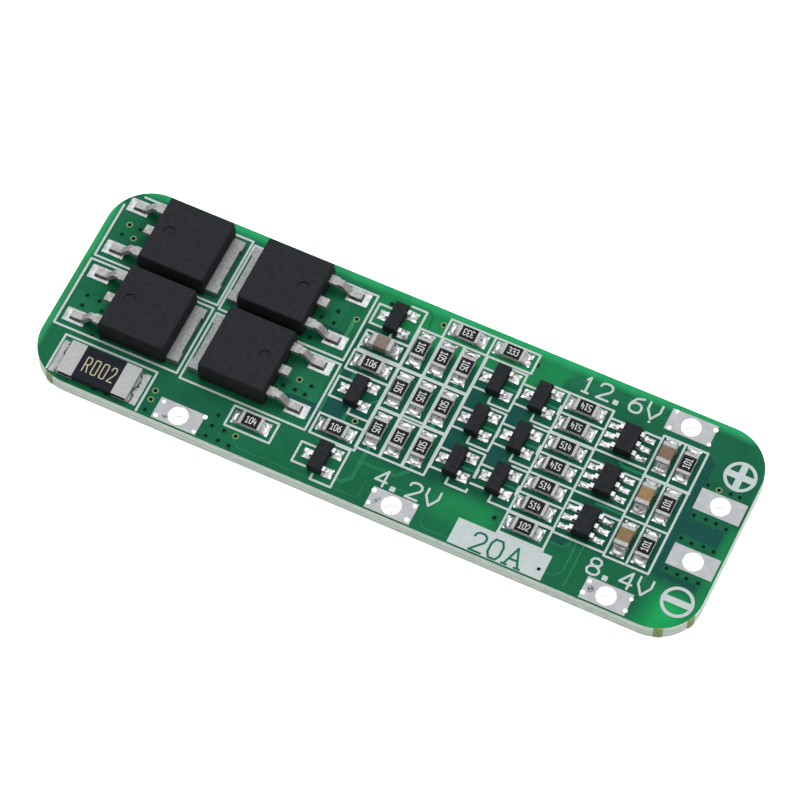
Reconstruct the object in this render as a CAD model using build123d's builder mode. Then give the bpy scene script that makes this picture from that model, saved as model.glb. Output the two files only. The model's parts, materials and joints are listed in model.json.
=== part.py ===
from build123d import *
import os
from math import cos, radians, sin

# Three-cell battery management board, in millimetres.
# Origin: centre of the board's underside. +X runs to the pack terminals, +Y to the 12.6 V edge,
# +Z is the component side.

# Board
board_thickness = 1.6
corner_radius = 4.0
foil_thickness = 0.05  # tinned copper, proud of the solder mask on the component side
tab_width = 0.9  # stubs left where the board was snapped out of its panel
tab_reach = 0.12
tab_angles = {"left end": [248.0], "right end": [294.0, 336.0]}  # on the near corners' arcs

# Wire terminals: tinned lands, each round a through hole
land_length = 4.1
land_width = 2.1
wire_hole_radius = 0.83  # as finished, inside the plating of its wall

# Power transistors: moulded body, exposed tab, two gull-wing leads and a cut-off middle stub
power_length = 6.2
power_width = 6.5
power_height = 2.3
power_draft = 5.0
power_corner = 0.18
power_edge = 0.08
tab_thickness = 0.5
lead_thickness = 0.38
lead_level = 0.92  # underside of the leads where they leave the moulding
lead_width = 0.82
lead_broad = 0.75  # how far a lead keeps its full width outside the moulding
foot_width = 0.62
lead_pitch = 4.6
lead_shoulder = 1.2
lead_slope = 0.7
lead_foot = 1.05
lead_bend = 0.35
stub_length = 0.88
root_length = 1.2  # part of each lead that is held inside the moulding
power_tab_width = 5.55
power_tab_reach = 0.95
ear_reach = 0.12
ear_width = 0.9
slug_length = 5.2  # part of the tab that is bonded under the moulding
dimple_radius = 0.55
dimple_depth = 0.12
dimple_offset = 1.65
power_pad_length = 1.95
power_pad_width = 1.33
foot_margin = 0.65  # solder land showing beyond a foot's tip

# Chip resistors
chip_length = 2.0
chip_width = 1.25
chip_height = 0.45
chip_cap = 0.33
cap_plating = 0.06
pad_overhang = 0.68
pad_inset = 0.45  # how far a land reaches under the chip
fillet_rise = 0.34
fillet_length = 0.42

# Ceramic capacitors: the same outline, taller, with end caps all round
capacitor_height = 0.85
capacitor_cap = 0.42
capacitor_edge = 0.08

# Current shunt
shunt_length = 6.5
shunt_width = 3.15
shunt_height = 0.6
shunt_cap = 1.4
shunt_plating = 0.12
shunt_pad_overhang = 0.8

# Small three-lead transistors
small_length = 2.8
small_width = 1.3
small_height = 0.88
small_span = 2.4
small_pitch = 1.9
small_pad = 0.9

# Six-lead cell monitors
monitor_width = 1.6
monitor_height = 0.98
monitor_span = 2.8
monitor_pitch = 0.95
monitor_pad_width = 0.5
monitor_pad_reach = 0.62

# Leads and mouldings shared by both small packages
pin_width = 0.42
pin_thickness = 0.13
pin_foot = 0.36
pin_root = 0.2
standoff = 0.08
mould_draft = 10.0
small_pad_reach = 0.35

# Clear gaps along the board, from its left end
left_end_gap = 1.76
power_column_gap = 0.93
sense_column_gap = 1.8
filter_gap = 0.79
switch_start_gap = 0.9
switch_gap = 0.75
balance_gap = 0.6
monitor_gap = 0.68
capacitor_gap = 0.79
supply_gap = 0.65
terminal_gap = 1.32
right_end_gap = 0.2

# Clear gaps across the board, from its near edge
near_edge_gap = 0.13
label_band = 3.12
row_gap = 0.87
far_band = 0.25
far_edge_gap = 0.48
power_edge_gap = 1.15
power_row_gap = 0.8
shunt_edge_gap = 0.48
shunt_clearance = 0.9  # least gap between the shunt and the power transistor beyond it
sense_gaps = {
    "switch_1": 1.4,
    "capacitor": 0.74,
    "resistor_1": 0.84,
    "switch_2": 0.83,
    "resistor_2": 1.89,
    "switch_3": 0.95,
}
balance_row_gap = 0.8

# Set-offs from a column or a row
balance_shift = -0.14  # middle of the six balance resistors, from the middle row
monitor_shift = -0.6  # cell monitors, from their rows
supply_shift = -0.5  # supply resistors and capacitors, from their rows
output_shift = 0.1  # resistor below the balance column, from the middle of the label band
gate_shift = 2.9  # cell-negative land and gate resistor, either side of the second power column
gate_gap = 0.3
shunt_shift = 1.4  # shunt, from the first power column
land_shift = 0.75  # lands of the two upper cells, from the capacitor column
pack_shift = 0.15  # middle of the pack terminals, from the board's middle
terminal_pitch = 5.6

# Sizes that follow
board_top = board_thickness
seat = board_top + foil_thickness
chip_span = chip_length + 2 * pad_overhang
small_land_span = small_span + 2 * small_pad_reach
monitor_land_span = monitor_span + 2 * monitor_pad_reach
lead_reach = power_length / 2 + lead_shoulder + lead_slope + lead_foot
tab_end = power_length / 2 + power_tab_reach + ear_reach

# Columns, measured from the left end
power_column_1 = left_end_gap + lead_reach
power_column_2 = power_column_1 + 2 * tab_end + power_column_gap
sense_column = power_column_2 + lead_reach + sense_column_gap + chip_span / 2
filter_column_1 = sense_column + chip_span / 2 + filter_gap + chip_width / 2
filter_pitch = chip_width + filter_gap
filter_columns = [filter_column_1 + i * filter_pitch for i in range(3)]
switch_pitch = small_land_span + switch_gap
switch_column_1 = filter_columns[2] + chip_width / 2 + switch_start_gap + small_land_span / 2
switch_columns = [switch_column_1, switch_column_1 + switch_pitch]
balance_column = switch_columns[1] + small_land_span / 2 + balance_gap + chip_span / 2
monitor_column = balance_column + chip_span / 2 + monitor_gap + monitor_land_span / 2
capacitor_column = monitor_column + monitor_land_span / 2 + capacitor_gap + chip_width / 2
supply_column = capacitor_column + chip_width + supply_gap
terminal_column = supply_column + chip_width / 2 + terminal_gap + land_length / 2
board_length = terminal_column + land_length / 2 + right_end_gap

# Rows, measured from the near edge
near_land_row = near_edge_gap + land_width / 2
row_pitch = chip_span + row_gap
row_3 = near_edge_gap + land_width + label_band + chip_span / 2
rows = [row_3 + 2 * row_pitch, row_3 + row_pitch, row_3]
far_land_row = rows[0] + chip_span / 2 + far_band + land_width / 2
sense_end_width = far_land_row + land_width / 2 + far_edge_gap
power_end_width = power_edge_gap + 2 * power_width + power_row_gap
power_end_width += shunt_clearance + shunt_width + shunt_edge_gap
board_width = max(sense_end_width, power_end_width)
power_row_1 = board_width - power_edge_gap - power_width / 2
power_row_2 = power_row_1 - power_width - power_row_gap
shunt_row = shunt_edge_gap + shunt_width / 2


def on_board(x, y, turn=0.0, z=seat):
    """Plane parallel to the board at a place measured from its left end and near edge."""
    origin = (x - board_length / 2, y - board_width / 2, z)
    return Plane(origin=origin, x_dir=(cos(radians(turn)), sin(radians(turn)), 0), z_dir=(0, 0, 1))


def save(part, name):
    """Label a finished piece and write it."""
    part.label = name
    export_step(part, f"parts/{name}.step")


os.makedirs("parts", exist_ok=True)

# Where each package stands: (column, row, turn)
power_places = [
    (power_column_1, power_row_1, 180.0),
    (power_column_1, power_row_2, 180.0),
    (power_column_2, power_row_1, 0.0),
    (power_column_2, power_row_2, 0.0),
]
shunt_place = (power_column_1 - shunt_shift, shunt_row, 0.0)

# The sense column is stacked from the far edge down
stack_sizes = {
    "switch_1": small_length,
    "capacitor": chip_width,
    "resistor_1": chip_width,
    "switch_2": small_length,
    "resistor_2": chip_width,
    "switch_3": small_length,
}
sense_rows = {}
edge = board_width
for piece, size in stack_sizes.items():
    edge -= sense_gaps[piece]
    sense_rows[piece] = edge - size / 2
    edge -= size

resistor_places = [(sense_column, sense_rows[f"resistor_{i}"], 0.0) for i in (1, 2)]
resistor_places += [(x, y, 90.0) for y in rows for x in filter_columns]
balance_pitch = chip_width + balance_row_gap
balance_top = rows[1] + balance_shift + 2.5 * balance_pitch
resistor_places += [(balance_column, balance_top - i * balance_pitch, 0.0) for i in range(6)]
resistor_places += [(supply_column, row + supply_shift, 90.0) for row in rows]
far_pitch = chip_span + switch_gap
resistor_places += [(switch_columns[0] - i * far_pitch, far_land_row, 0.0) for i in (1, 0)]
near_band = near_land_row + land_width / 2
resistor_places += [(balance_column, near_band + label_band / 2 + output_shift, 0.0)]
resistor_places += [(power_column_2 + gate_shift, near_band + chip_width / 2 + gate_gap, 0.0)]

capacitor_places = [(sense_column, sense_rows["capacitor"], 0.0)]
capacitor_places += [(capacitor_column, row + supply_shift, 90.0) for row in rows]

switch_places = [(sense_column, sense_rows[f"switch_{i}"], 0.0) for i in (1, 2, 3)]
switch_places += [(x, y, 0.0) for y in rows for x in switch_columns]

monitor_places = [(monitor_column, row + monitor_shift, 0.0) for row in rows]

pack_row = board_width / 2 - pack_shift
land_places = {
    "cell_3_positive": (capacitor_column + land_shift, far_land_row, 0.0),
    "cell_2_positive": (capacitor_column + land_shift, near_land_row, 0.0),
    "cell_1_positive": (filter_columns[2], near_land_row, 0.0),
    "cell_negative": (power_column_2 - gate_shift, near_land_row, 0.0),
    "pack_positive": (terminal_column, pack_row + terminal_pitch / 2, 0.0),
    "pack_negative": (terminal_column, pack_row - terminal_pitch / 2, 0.0),
}


def spots(places, offsets):
    """Locations on the board's face of the same offsets from each of several packages."""
    found = []
    for x, y, turn in places:
        for along, across in offsets:
            spot = on_board(x, y, turn).from_local_coords((along, across, 0))
            found.append(Location((spot.X, spot.Y, 0), (0, 0, turn)))
    return found


# Circuit board
hole_spots = spots(land_places.values(), [(0, 0)])
with BuildPart() as circuit_board:
    with BuildSketch() as outline:
        Rectangle(board_length, board_width)
        fillet(outline.vertices(), corner_radius)
        for end, side in (("left end", -1), ("right end", 1)):
            centre = (side * (board_length / 2 - corner_radius), corner_radius - board_width / 2)
            for angle in tab_angles[end]:
                with Locations(centre):
                    with PolarLocations(corner_radius, 1, start_angle=angle):
                        Rectangle(2 * tab_reach, tab_width)
    extrude(amount=board_thickness)
    with BuildSketch():
        with Locations(*hole_spots):
            Circle(wire_hole_radius)
    extrude(amount=board_thickness, mode=Mode.SUBTRACT)
save(circuit_board.part, "circuit_board")

# Wire terminals on the component side
with BuildPart() as terminal_lands:
    with BuildSketch(Plane.XY.offset(board_top)):
        with Locations(*hole_spots):
            Rectangle(land_length, land_width)
            Circle(wire_hole_radius, mode=Mode.SUBTRACT)
    extrude(amount=foil_thickness)
save(terminal_lands.part, "terminal_lands")

# Solder lands under the packages
chip_land = pad_overhang + pad_inset
chip_land_spots = [(side * (chip_length / 2 + (pad_overhang - pad_inset) / 2), 0) for side in (-1, 1)]
shunt_land = shunt_cap + shunt_pad_overhang
shunt_land_spots = [(side * (shunt_length + shunt_pad_overhang - shunt_cap) / 2, 0) for side in (-1, 1)]
small_land_spots = [(-small_land_span / 2 + small_pad / 2, 0)]
small_land_spots += [(small_land_span / 2 - small_pad / 2, side * small_pitch / 2) for side in (-1, 1)]
monitor_land = monitor_land_span / 2 - monitor_width / 2
monitor_land_spots = [
    (side * (monitor_land_span - monitor_land) / 2, i * monitor_pitch) for side in (-1, 1) for i in (-1, 0, 1)
]
foot_land = lead_reach + foot_margin - power_pad_length / 2
power_land_spots = [(foot_land, side * lead_pitch / 2) for side in (-1, 1)]
tab_land_length = slug_length + power_tab_reach
tab_land_spots = [(slug_length - power_length / 2 - tab_land_length / 2, 0)]
with BuildPart() as component_pads:
    with BuildSketch(Plane.XY.offset(board_top)):
        with Locations(*spots(resistor_places + capacitor_places, chip_land_spots)):
            Rectangle(chip_land, chip_width)
        with Locations(*spots([shunt_place], shunt_land_spots)):
            Rectangle(shunt_land, shunt_width)
        with Locations(*spots(switch_places, small_land_spots)):
            Rectangle(small_pad, small_pad)
        with Locations(*spots(monitor_places, monitor_land_spots)):
            Rectangle(monitor_land, monitor_pad_width)
        with Locations(*spots(power_places, power_land_spots)):
            Rectangle(power_pad_length, power_pad_width)
        with Locations(*spots(power_places, tab_land_spots)):
            Rectangle(tab_land_length, power_tab_width)
    extrude(amount=foil_thickness)
save(component_pads.part, "component_pads")


# Power transistors: copper tab and leads first, then the moulding round them
lead_top = lead_level + lead_thickness
ramp_start = power_length / 2 + lead_shoulder
foot_start = ramp_start + lead_slope
slug_front = slug_length - power_length / 2
with BuildPart() as power_frame:
    with BuildSketch():
        with Locations((-power_length / 2 - power_tab_reach, 0)):
            Rectangle(slug_length + power_tab_reach, power_tab_width, align=(Align.MIN, Align.CENTER))
        for side in (-1, 1):
            with Locations((-tab_end, side * (power_tab_width - ear_width) / 2)):
                Rectangle(2 * ear_reach, ear_width, align=(Align.MIN, Align.CENTER))
    extrude(amount=tab_thickness)
    with BuildSketch(Plane.XZ):
        with BuildLine():
            Polyline(
                (slug_front - tab_thickness, 0),
                (slug_front, 0),
                (power_length / 2 - tab_thickness / 2, lead_level),
                (power_length / 2 + stub_length, lead_level),
                (power_length / 2 + stub_length, lead_top),
                (power_length / 2 - tab_thickness, lead_top),
                (slug_front - tab_thickness, tab_thickness),
                close=True,
            )
        make_face()
    extrude(amount=lead_width / 2, both=True)
    for side in (-1, 1):
        with BuildSketch(Plane.XZ.offset(-side * lead_pitch / 2)) as lead_profile:
            with BuildLine():
                Polyline(
                    (power_length / 2 - root_length, lead_level),
                    (ramp_start - lead_thickness / 2, lead_level),
                    (foot_start - lead_thickness / 2, 0),
                    (lead_reach, 0),
                    (lead_reach, lead_thickness),
                    (foot_start, lead_thickness),
                    (ramp_start, lead_top),
                    (power_length / 2 - root_length, lead_top),
                    close=True,
                )
            make_face()
            bends = lead_profile.vertices().filter_by(
                lambda corner: ramp_start - lead_thickness < corner.X < foot_start + lead_thickness
            )
            fillet(bends, lead_bend)
        extrude(amount=foot_width / 2, both=True)
        with BuildSketch(Plane.XY.offset(lead_level)):
            with Locations((power_length / 2 - root_length, side * lead_pitch / 2)):
                Rectangle(root_length + lead_broad, lead_width, align=(Align.MIN, Align.CENTER))
        extrude(amount=lead_thickness)

parting = lead_level + lead_thickness / 2
with BuildPart() as power_moulding:
    with BuildSketch(Plane.XY.offset(parting)) as parting_face:
        Rectangle(power_length, power_width)
        chamfer(parting_face.vertices().group_by(Axis.X)[0], power_corner)
    extrude(amount=power_height - parting, taper=power_draft)
    extrude(parting_face.sketch, amount=-parting, taper=power_draft)
    chamfer(power_moulding.faces().sort_by(Axis.Z)[-1].edges(), power_edge)
    with BuildSketch(Plane.XY.offset(power_height)):
        with Locations((dimple_offset, 0)):
            Circle(dimple_radius)
    extrude(amount=-dimple_depth, mode=Mode.SUBTRACT)
    add(power_frame.part, mode=Mode.SUBTRACT)

for number, place in enumerate(power_places, start=1):
    with BuildPart() as power_transistor:
        with Locations(on_board(*place)):
            add(power_moulding.part)
    save(power_transistor.part, f"power_transistor_{number}")
    with BuildPart() as power_leads:
        with Locations(on_board(*place)):
            add(power_frame.part)
    save(power_leads.part, f"power_leads_{number}")


def chip(length, width, height, cap, plate):
    """Body of a flat chip: a core that runs the full length inside its end caps, full height between them."""
    with BuildPart() as body:
        with BuildSketch(Plane.XZ):
            with Locations((0, height / 2)):
                Rectangle(length - 2 * plate, height - 2 * plate)
            with Locations((0, plate)):
                Rectangle(length - 2 * cap, height - plate, align=(Align.CENTER, Align.MIN))
        extrude(amount=width / 2, both=True)
    return body.part


def wrapped_caps(length, width, height, cap, core):
    """Pair of metal ends that wrap over the top, the end and the underside of a chip's core."""
    with BuildPart() as caps:
        with BuildSketch():
            for side in (-1, 1):
                with Locations((side * (length - cap) / 2, 0)):
                    Rectangle(cap, width)
        extrude(amount=height)
        add(core, mode=Mode.SUBTRACT)
    return caps.part


def placed(pieces, places):
    """One part with the same pieces at each of several places."""
    with BuildPart() as group:
        with Locations(*[on_board(*place) for place in places]):
            add(pieces)
    return group.part


# Current shunt
shunt_core = chip(shunt_length, shunt_width, shunt_height, shunt_cap, shunt_plating)
save(placed(shunt_core, [shunt_place]), "shunt_element")
shunt_ends = wrapped_caps(shunt_length, shunt_width, shunt_height, shunt_cap, shunt_core)
save(placed(shunt_ends, [shunt_place]), "shunt_terminals")

# Chip resistors
resistor_core = chip(chip_length, chip_width, chip_height, chip_cap, cap_plating)
for number, place in enumerate(resistor_places, start=1):
    save(placed(resistor_core, [place]), f"resistor_{number:02d}")
resistor_ends = wrapped_caps(chip_length, chip_width, chip_height, chip_cap, resistor_core)
save(placed(resistor_ends, resistor_places), "resistor_end_caps")

# Ceramic capacitors: a block that stands a plating's thickness inside end caps on all five sides
with BuildPart() as capacitor_core:
    with BuildSketch(Plane.XY.offset(cap_plating)):
        Rectangle(chip_length - 2 * cap_plating, chip_width - 2 * cap_plating)
    extrude(amount=capacitor_height - 2 * cap_plating)
with BuildPart() as capacitor_ends:
    with BuildSketch():
        for side in (-1, 1):
            with Locations((side * (chip_length - capacitor_cap) / 2, 0)):
                Rectangle(capacitor_cap, chip_width)
    extrude(amount=capacitor_height)
    end_plane = chip_length / 2 - cap_plating
    outer_edges = capacitor_ends.edges().filter_by(lambda edge: abs(edge.center().X) > end_plane)
    chamfer(outer_edges.group_by(Axis.Z)[-1], capacitor_edge)
    add(capacitor_core.part, mode=Mode.SUBTRACT)
for number, place in enumerate(capacitor_places, start=1):
    save(placed(capacitor_core.part, [place]), f"capacitor_{number}")
save(placed(capacitor_ends.part, capacitor_places), "capacitor_end_caps")


def gull_wing(body_width, height, span):
    """One formed lead that points along +X from inside a small moulding down to the board."""
    level = height / 2
    shoulder = body_width / 2 + (span - body_width) / 2 - pin_foot
    with BuildPart() as pin:
        with BuildSketch(Plane.XZ):
            with BuildLine():
                Polyline(
                    (body_width / 2 - pin_root, level - pin_thickness / 2),
                    (shoulder - pin_thickness / 2, level - pin_thickness / 2),
                    (shoulder, 0),
                    (span / 2, 0),
                    (span / 2, pin_thickness),
                    (shoulder + pin_thickness, pin_thickness),
                    (shoulder + pin_thickness / 2, level + pin_thickness / 2),
                    (body_width / 2 - pin_root, level + pin_thickness / 2),
                    close=True,
                )
            make_face()
        extrude(amount=pin_width / 2, both=True)
    return pin.part


def small_package(body_width, height, pin, pin_spots):
    """(moulding, leads) of a small package, its leads at (along, across, turn) from its middle."""
    leads_at = [Location((0, across, 0), (0, 0, turn)) for across, turn in pin_spots]
    with BuildPart() as leads:
        with Locations(*leads_at):
            add(pin)
    with BuildPart() as moulding:
        with BuildSketch(Plane.XY.offset(height / 2)) as middle:
            Rectangle(body_width, small_length)
        extrude(amount=height / 2, taper=mould_draft)
        extrude(middle.sketch, amount=standoff - height / 2, taper=mould_draft)
        add(leads.part, mode=Mode.SUBTRACT)
    return moulding.part, leads.part


# Small transistors: one lead towards -X, two towards +X
small_pin = gull_wing(small_width, small_height, small_span)
small_pins = [(0, 180.0), (-small_pitch / 2, 0.0), (small_pitch / 2, 0.0)]
small_moulding, small_leads = small_package(small_width, small_height, small_pin, small_pins)
for number, place in enumerate(switch_places, start=1):
    save(placed(small_moulding, [place]), f"transistor_{number}")
save(placed(small_leads, switch_places), "transistor_leads")

# Cell monitors: three leads on each side
monitor_pin = gull_wing(monitor_width, monitor_height, monitor_span)
monitor_pins = [(i * monitor_pitch, turn) for turn in (0.0, 180.0) for i in (-1, 0, 1)]
monitor_moulding, monitor_pins_part = small_package(monitor_width, monitor_height, monitor_pin, monitor_pins)
for number, place in enumerate(monitor_places, start=1):
    save(placed(monitor_moulding, [place]), f"cell_monitor_{number}")
save(placed(monitor_pins_part, monitor_places), "cell_monitor_leads")


def solder_pair(length, width, reach):
    """Fillets of solder between the lands and the two end faces of a chip of this length and width."""
    with BuildPart() as pair:
        for side in (-1, 1):
            with BuildSketch(Plane.XZ):
                with BuildLine():
                    Polyline(
                        (side * length / 2, 0),
                        (side * (length / 2 + reach), 0),
                        (side * length / 2, fillet_rise),
                        close=True,
                    )
                make_face()
            extrude(amount=width / 2, both=True)
    return pair.part


# Solder at the ends of the chips
chip_solder = solder_pair(chip_length, chip_width, fillet_length)
shunt_solder = solder_pair(shunt_length, shunt_width, shunt_pad_overhang)
with BuildPart() as solder_fillets:
    with Locations(*[on_board(*place) for place in resistor_places + capacitor_places]):
        add(chip_solder)
    with Locations(on_board(*shunt_place)):
        add(shunt_solder)
save(solder_fillets.part, "solder_fillets")
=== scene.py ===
import json
import math
import random

import bmesh
import bpy
from mathutils import Matrix, Vector


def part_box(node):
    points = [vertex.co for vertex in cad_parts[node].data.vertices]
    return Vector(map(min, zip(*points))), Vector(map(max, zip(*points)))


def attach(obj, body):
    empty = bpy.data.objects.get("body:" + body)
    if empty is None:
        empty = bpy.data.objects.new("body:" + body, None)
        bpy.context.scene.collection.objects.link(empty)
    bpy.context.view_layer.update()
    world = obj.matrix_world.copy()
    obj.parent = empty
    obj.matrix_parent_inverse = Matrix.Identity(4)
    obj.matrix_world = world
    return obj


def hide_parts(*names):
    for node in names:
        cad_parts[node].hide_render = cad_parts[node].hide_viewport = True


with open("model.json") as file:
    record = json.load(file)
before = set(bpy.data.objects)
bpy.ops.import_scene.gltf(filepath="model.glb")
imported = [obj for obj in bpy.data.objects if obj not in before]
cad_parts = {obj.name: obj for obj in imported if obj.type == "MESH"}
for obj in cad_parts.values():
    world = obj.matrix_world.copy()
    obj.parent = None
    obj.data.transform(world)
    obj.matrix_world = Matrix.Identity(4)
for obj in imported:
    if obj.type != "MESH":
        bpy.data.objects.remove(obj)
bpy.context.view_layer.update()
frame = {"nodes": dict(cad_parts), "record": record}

MM = 0.001

# Levels of the board, in millimetres
UNDERSIDE = 0.0
MASK_LOW = 0.01
CORE_LOW = 0.03
CORE_HIGH = 1.57
MASK_TOP = 1.6
SEAT = 1.65
board_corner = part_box("circuit_board")[1] / MM
HALF_LENGTH = board_corner.x
HALF_WIDTH = board_corner.y
CORNER_RADIUS = 4.0
WIRE_HOLE_RADIUS = 0.83

# A scorched spot reaches this many times deeper than wide, so that the land's height doesn't narrow it
SPOT_DEPTH = 8.0

# Camera, as the photograph was taken
camera_data = bpy.data.cameras.new("camera")
camera_data.sensor_width = 36.0
camera_data.lens = 201.68
camera_data.clip_start = 0.01
camera_data.clip_end = 10.0
camera = bpy.data.objects.new("camera", camera_data)
bpy.context.scene.collection.objects.link(camera)
camera.matrix_world = Matrix((
    (0.9033388, -0.3750534, 0.2081201, 0.077536),
    (0.4289273, 0.7891921, -0.4395420, -0.163472),
    (0.0006049, 0.4863237, 0.8737785, 0.327509),
    (0.0, 0.0, 0.0, 1.0),
))
bpy.context.scene.camera = camera
bpy.context.scene.view_settings.view_transform = "Standard"


# Materials
def shade(tone):
    """Shader colour of a red, green and blue of 0 to 255. A socket that makes a colour stays as it is."""
    if isinstance(tone, bpy.types.NodeSocket):
        return tone
    shares = [value / 255.0 for value in tone]
    return (*(s / 12.92 if s <= 0.04045 else ((s + 0.055) / 1.055) ** 2.4 for s in shares), 1.0)


class Graph:
    """The nodes of a material, of the world or of a geometry tree."""

    def __init__(self, tree):
        self.nodes = tree.nodes
        self.links = tree.links

    def feed(self, socket, value):
        """Link a socket's source, or set its value."""
        if isinstance(value, bpy.types.NodeSocket):
            self.links.new(value, socket)
        else:
            socket.default_value = value

    def node(self, kind, inputs=(), **settings):
        made = self.nodes.new(kind)
        for setting, value in settings.items():
            setattr(made, setting, value)
        for socket, value in dict(inputs).items():
            self.feed(made.inputs[socket], value)
        return made

    def maths(self, operation, first, second=0.0, **settings):
        return self.node("ShaderNodeMath", {0: first, 1: second}, operation=operation, **settings).outputs[0]

    def ramp(self, value, low, high, to_low=0.0, to_high=1.0):
        """Smooth step of a value from one number to another."""
        inputs = {"Value": value, "From Min": low, "From Max": high, "To Min": to_low, "To Max": to_high}
        return self.node("ShaderNodeMapRange", inputs, interpolation_type="SMOOTHSTEP").outputs["Result"]


class Finish(Graph):
    """A material wired up round one principled shader, on Object coordinates in metres.

    A colour is given as red, green and blue of 0 to 255, or as the socket that makes it.
    """

    def __init__(self, name, roughness=0.5, metallic=0.0, specular=0.5):
        self.material = bpy.data.materials.new(name)
        self.material.use_nodes = True
        super().__init__(self.material.node_tree)
        self.shader = self.nodes["Principled BSDF"]
        self.give("Roughness", roughness)
        self.give("Metallic", metallic)
        self.give("Specular IOR Level", specular)
        self.place = self.node("ShaderNodeTexCoord").outputs["Object"]
        self.axes = None

    def give(self, label, value):
        """Feed one of the shader's own sockets."""
        self.feed(self.shader.inputs[label], value)
        return self

    def colour(self, tone):
        return self.give("Base Color", shade(tone))

    def over(self, share, tone):
        """Lay another colour over the one that the shader has."""
        below = self.shader.inputs["Base Color"].links[0].from_socket
        return self.colour(self.mix(share, below, tone))

    def bump(self, height, depth):
        """Bump of a height field, its full range depth millimetres deep."""
        made = self.node("ShaderNodeBump", {"Height": height, "Distance": depth * MM, "Strength": 1.0})
        return self.give("Normal", made.outputs[0])

    def axis(self, letter):
        """One of the place's three coordinates."""
        if self.axes is None:
            self.axes = dict(zip("xyz", self.node("ShaderNodeSeparateXYZ", {0: self.place}).outputs))
        return self.axes[letter]

    def grain(self, size, detail=3.0, stretch=(1.0, 1.0, 1.0), roughness=0.5):
        """Soft noise whose spots are about size millimetres across."""
        scaled = self.node("ShaderNodeVectorMath", {0: self.place, 1: stretch}, operation="MULTIPLY")
        inputs = {"Vector": scaled.outputs[0], "Scale": 1.0 / (size * MM)}
        inputs.update({"Detail": detail, "Roughness": roughness})
        return self.node("ShaderNodeTexNoise", inputs).outputs["Fac"]

    def specks(self, spacing, core, rim):
        """1 at scattered points about spacing millimetres apart, fading out between two shares of it."""
        cells = self.node("ShaderNodeTexVoronoi", {"Vector": self.place, "Scale": 1.0 / (spacing * MM)})
        return self.ramp(cells.outputs["Distance"], core, rim, 1.0, 0.0)

    def mix(self, share, first, second):
        """Colour between two colours."""
        inputs = {0: share, 6: shade(first), 7: shade(second)}
        return self.node("ShaderNodeMix", inputs, data_type="RGBA").outputs[2]

    def box_zone(self, x0, x1, y0, y1, soft):
        """1 inside a rectangle of the board, fading to 0 over soft millimetres. None leaves a side open."""
        inside = 1.0
        for letter, low, high in (("x", x0, x1), ("y", y0, y1)):
            for limit, before, after in ((low, 0.0, 1.0), (high, 1.0, 0.0)):
                if limit is not None:
                    start, end = (limit - soft) * MM, (limit + soft) * MM
                    side = self.ramp(self.axis(letter), start, end, before, after)
                    inside = side if inside == 1.0 else self.maths("MULTIPLY", inside, side)
        return inside

    def zoned(self, tone, zones):
        """A colour with soft-edged rectangles of other colours laid over it."""
        for x0, x1, y0, y1, soft, colour in zones:
            tone = self.mix(self.box_zone(x0, x1, y0, y1, soft), tone, colour)
        return tone

    def spot_zone(self, x, y, radius, soft, stretch, turn):
        """1 near a point of the board in millimetres, fading to 0 at about its radius."""
        mapping = self.node("ShaderNodeMapping", {
            "Vector": self.place,
            "Location": (x * MM, y * MM, MASK_TOP * MM),
            "Rotation": (0.0, 0.0, math.radians(turn)),
            "Scale": (*stretch, SPOT_DEPTH),
        }, vector_type="TEXTURE")
        away = self.node("ShaderNodeVectorMath", {0: mapping.outputs[0]}, operation="LENGTH").outputs["Value"]
        return self.ramp(away, (radius - soft) * MM, (radius + soft) * MM, 1.0, 0.0)


# Greens of the mask, from the painted light of the board's glowing rim down to the places with copper on the
# other side; SHADE_GREEN is painted shade
PAINTED_RIM_LIGHT_GREEN = (46, 178, 112)
PAINTED_PALE_RIM_LIGHT_GREEN = (58, 172, 108)
PAINTED_CORNER_LIGHT_GREEN = (32, 178, 98)
LIT_GREEN = (34, 142, 84)
OPEN_GREEN = (31, 109, 75)
DEEP_GREEN = (21, 88, 66)
SHADE_GREEN = (18, 82, 56)
TEAL_GREEN = (28, 83, 79)
COPPER_GREEN = (36, 120, 84)
TRACE_GREEN = (62, 150, 100)
CLOUD_GREEN = (8, 62, 40)
WEAVE_GREEN = (70, 160, 120)

# Rectangles of the board over which a green lies, each with its soft edge; None runs on to the rim
# The rim's glow is painted light: the bare rim drawn brighter, as light let through the laminate
RIM_GLOW = [
    (None, None, 9.35, None, 0.45, PAINTED_RIM_LIGHT_GREEN),
    (None, -29.75, None, None, 0.28, PAINTED_PALE_RIM_LIGHT_GREEN),
    (29.5, None, -10.0, 1.2, 0.5, LIT_GREEN),
]
# Of these, LIT_GREEN and the bright corner green are painted light let through the bare laminate, and
# SHADE_GREEN is painted shade
BARE_ZONES = [
    (None, -17.8, -5.6, 9.2, 0.3, OPEN_GREEN),
    (-26.9, -26.0, -5.2, 8.6, 0.9, SHADE_GREEN),
    (-6.0, 12.3, 5.6, 9.4, 0.9, LIT_GREEN),
    (-6.0, 12.4, -5.35, 6.1, 0.5, DEEP_GREEN),
    (12.4, 25.3, -5.6, 6.9, 0.3, DEEP_GREEN),
    (25.3, 29.4, -5.4, 6.9, 0.25, TEAL_GREEN),
    (18.4, 25.4, -9.8, -5.6, 0.5, OPEN_GREEN),
    (6.2, 12.0, -8.4, -5.5, 1.0, LIT_GREEN),
    (26.2, 29.6, None, -6.6, 1.3, PAINTED_CORNER_LIGHT_GREEN),
]
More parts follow.
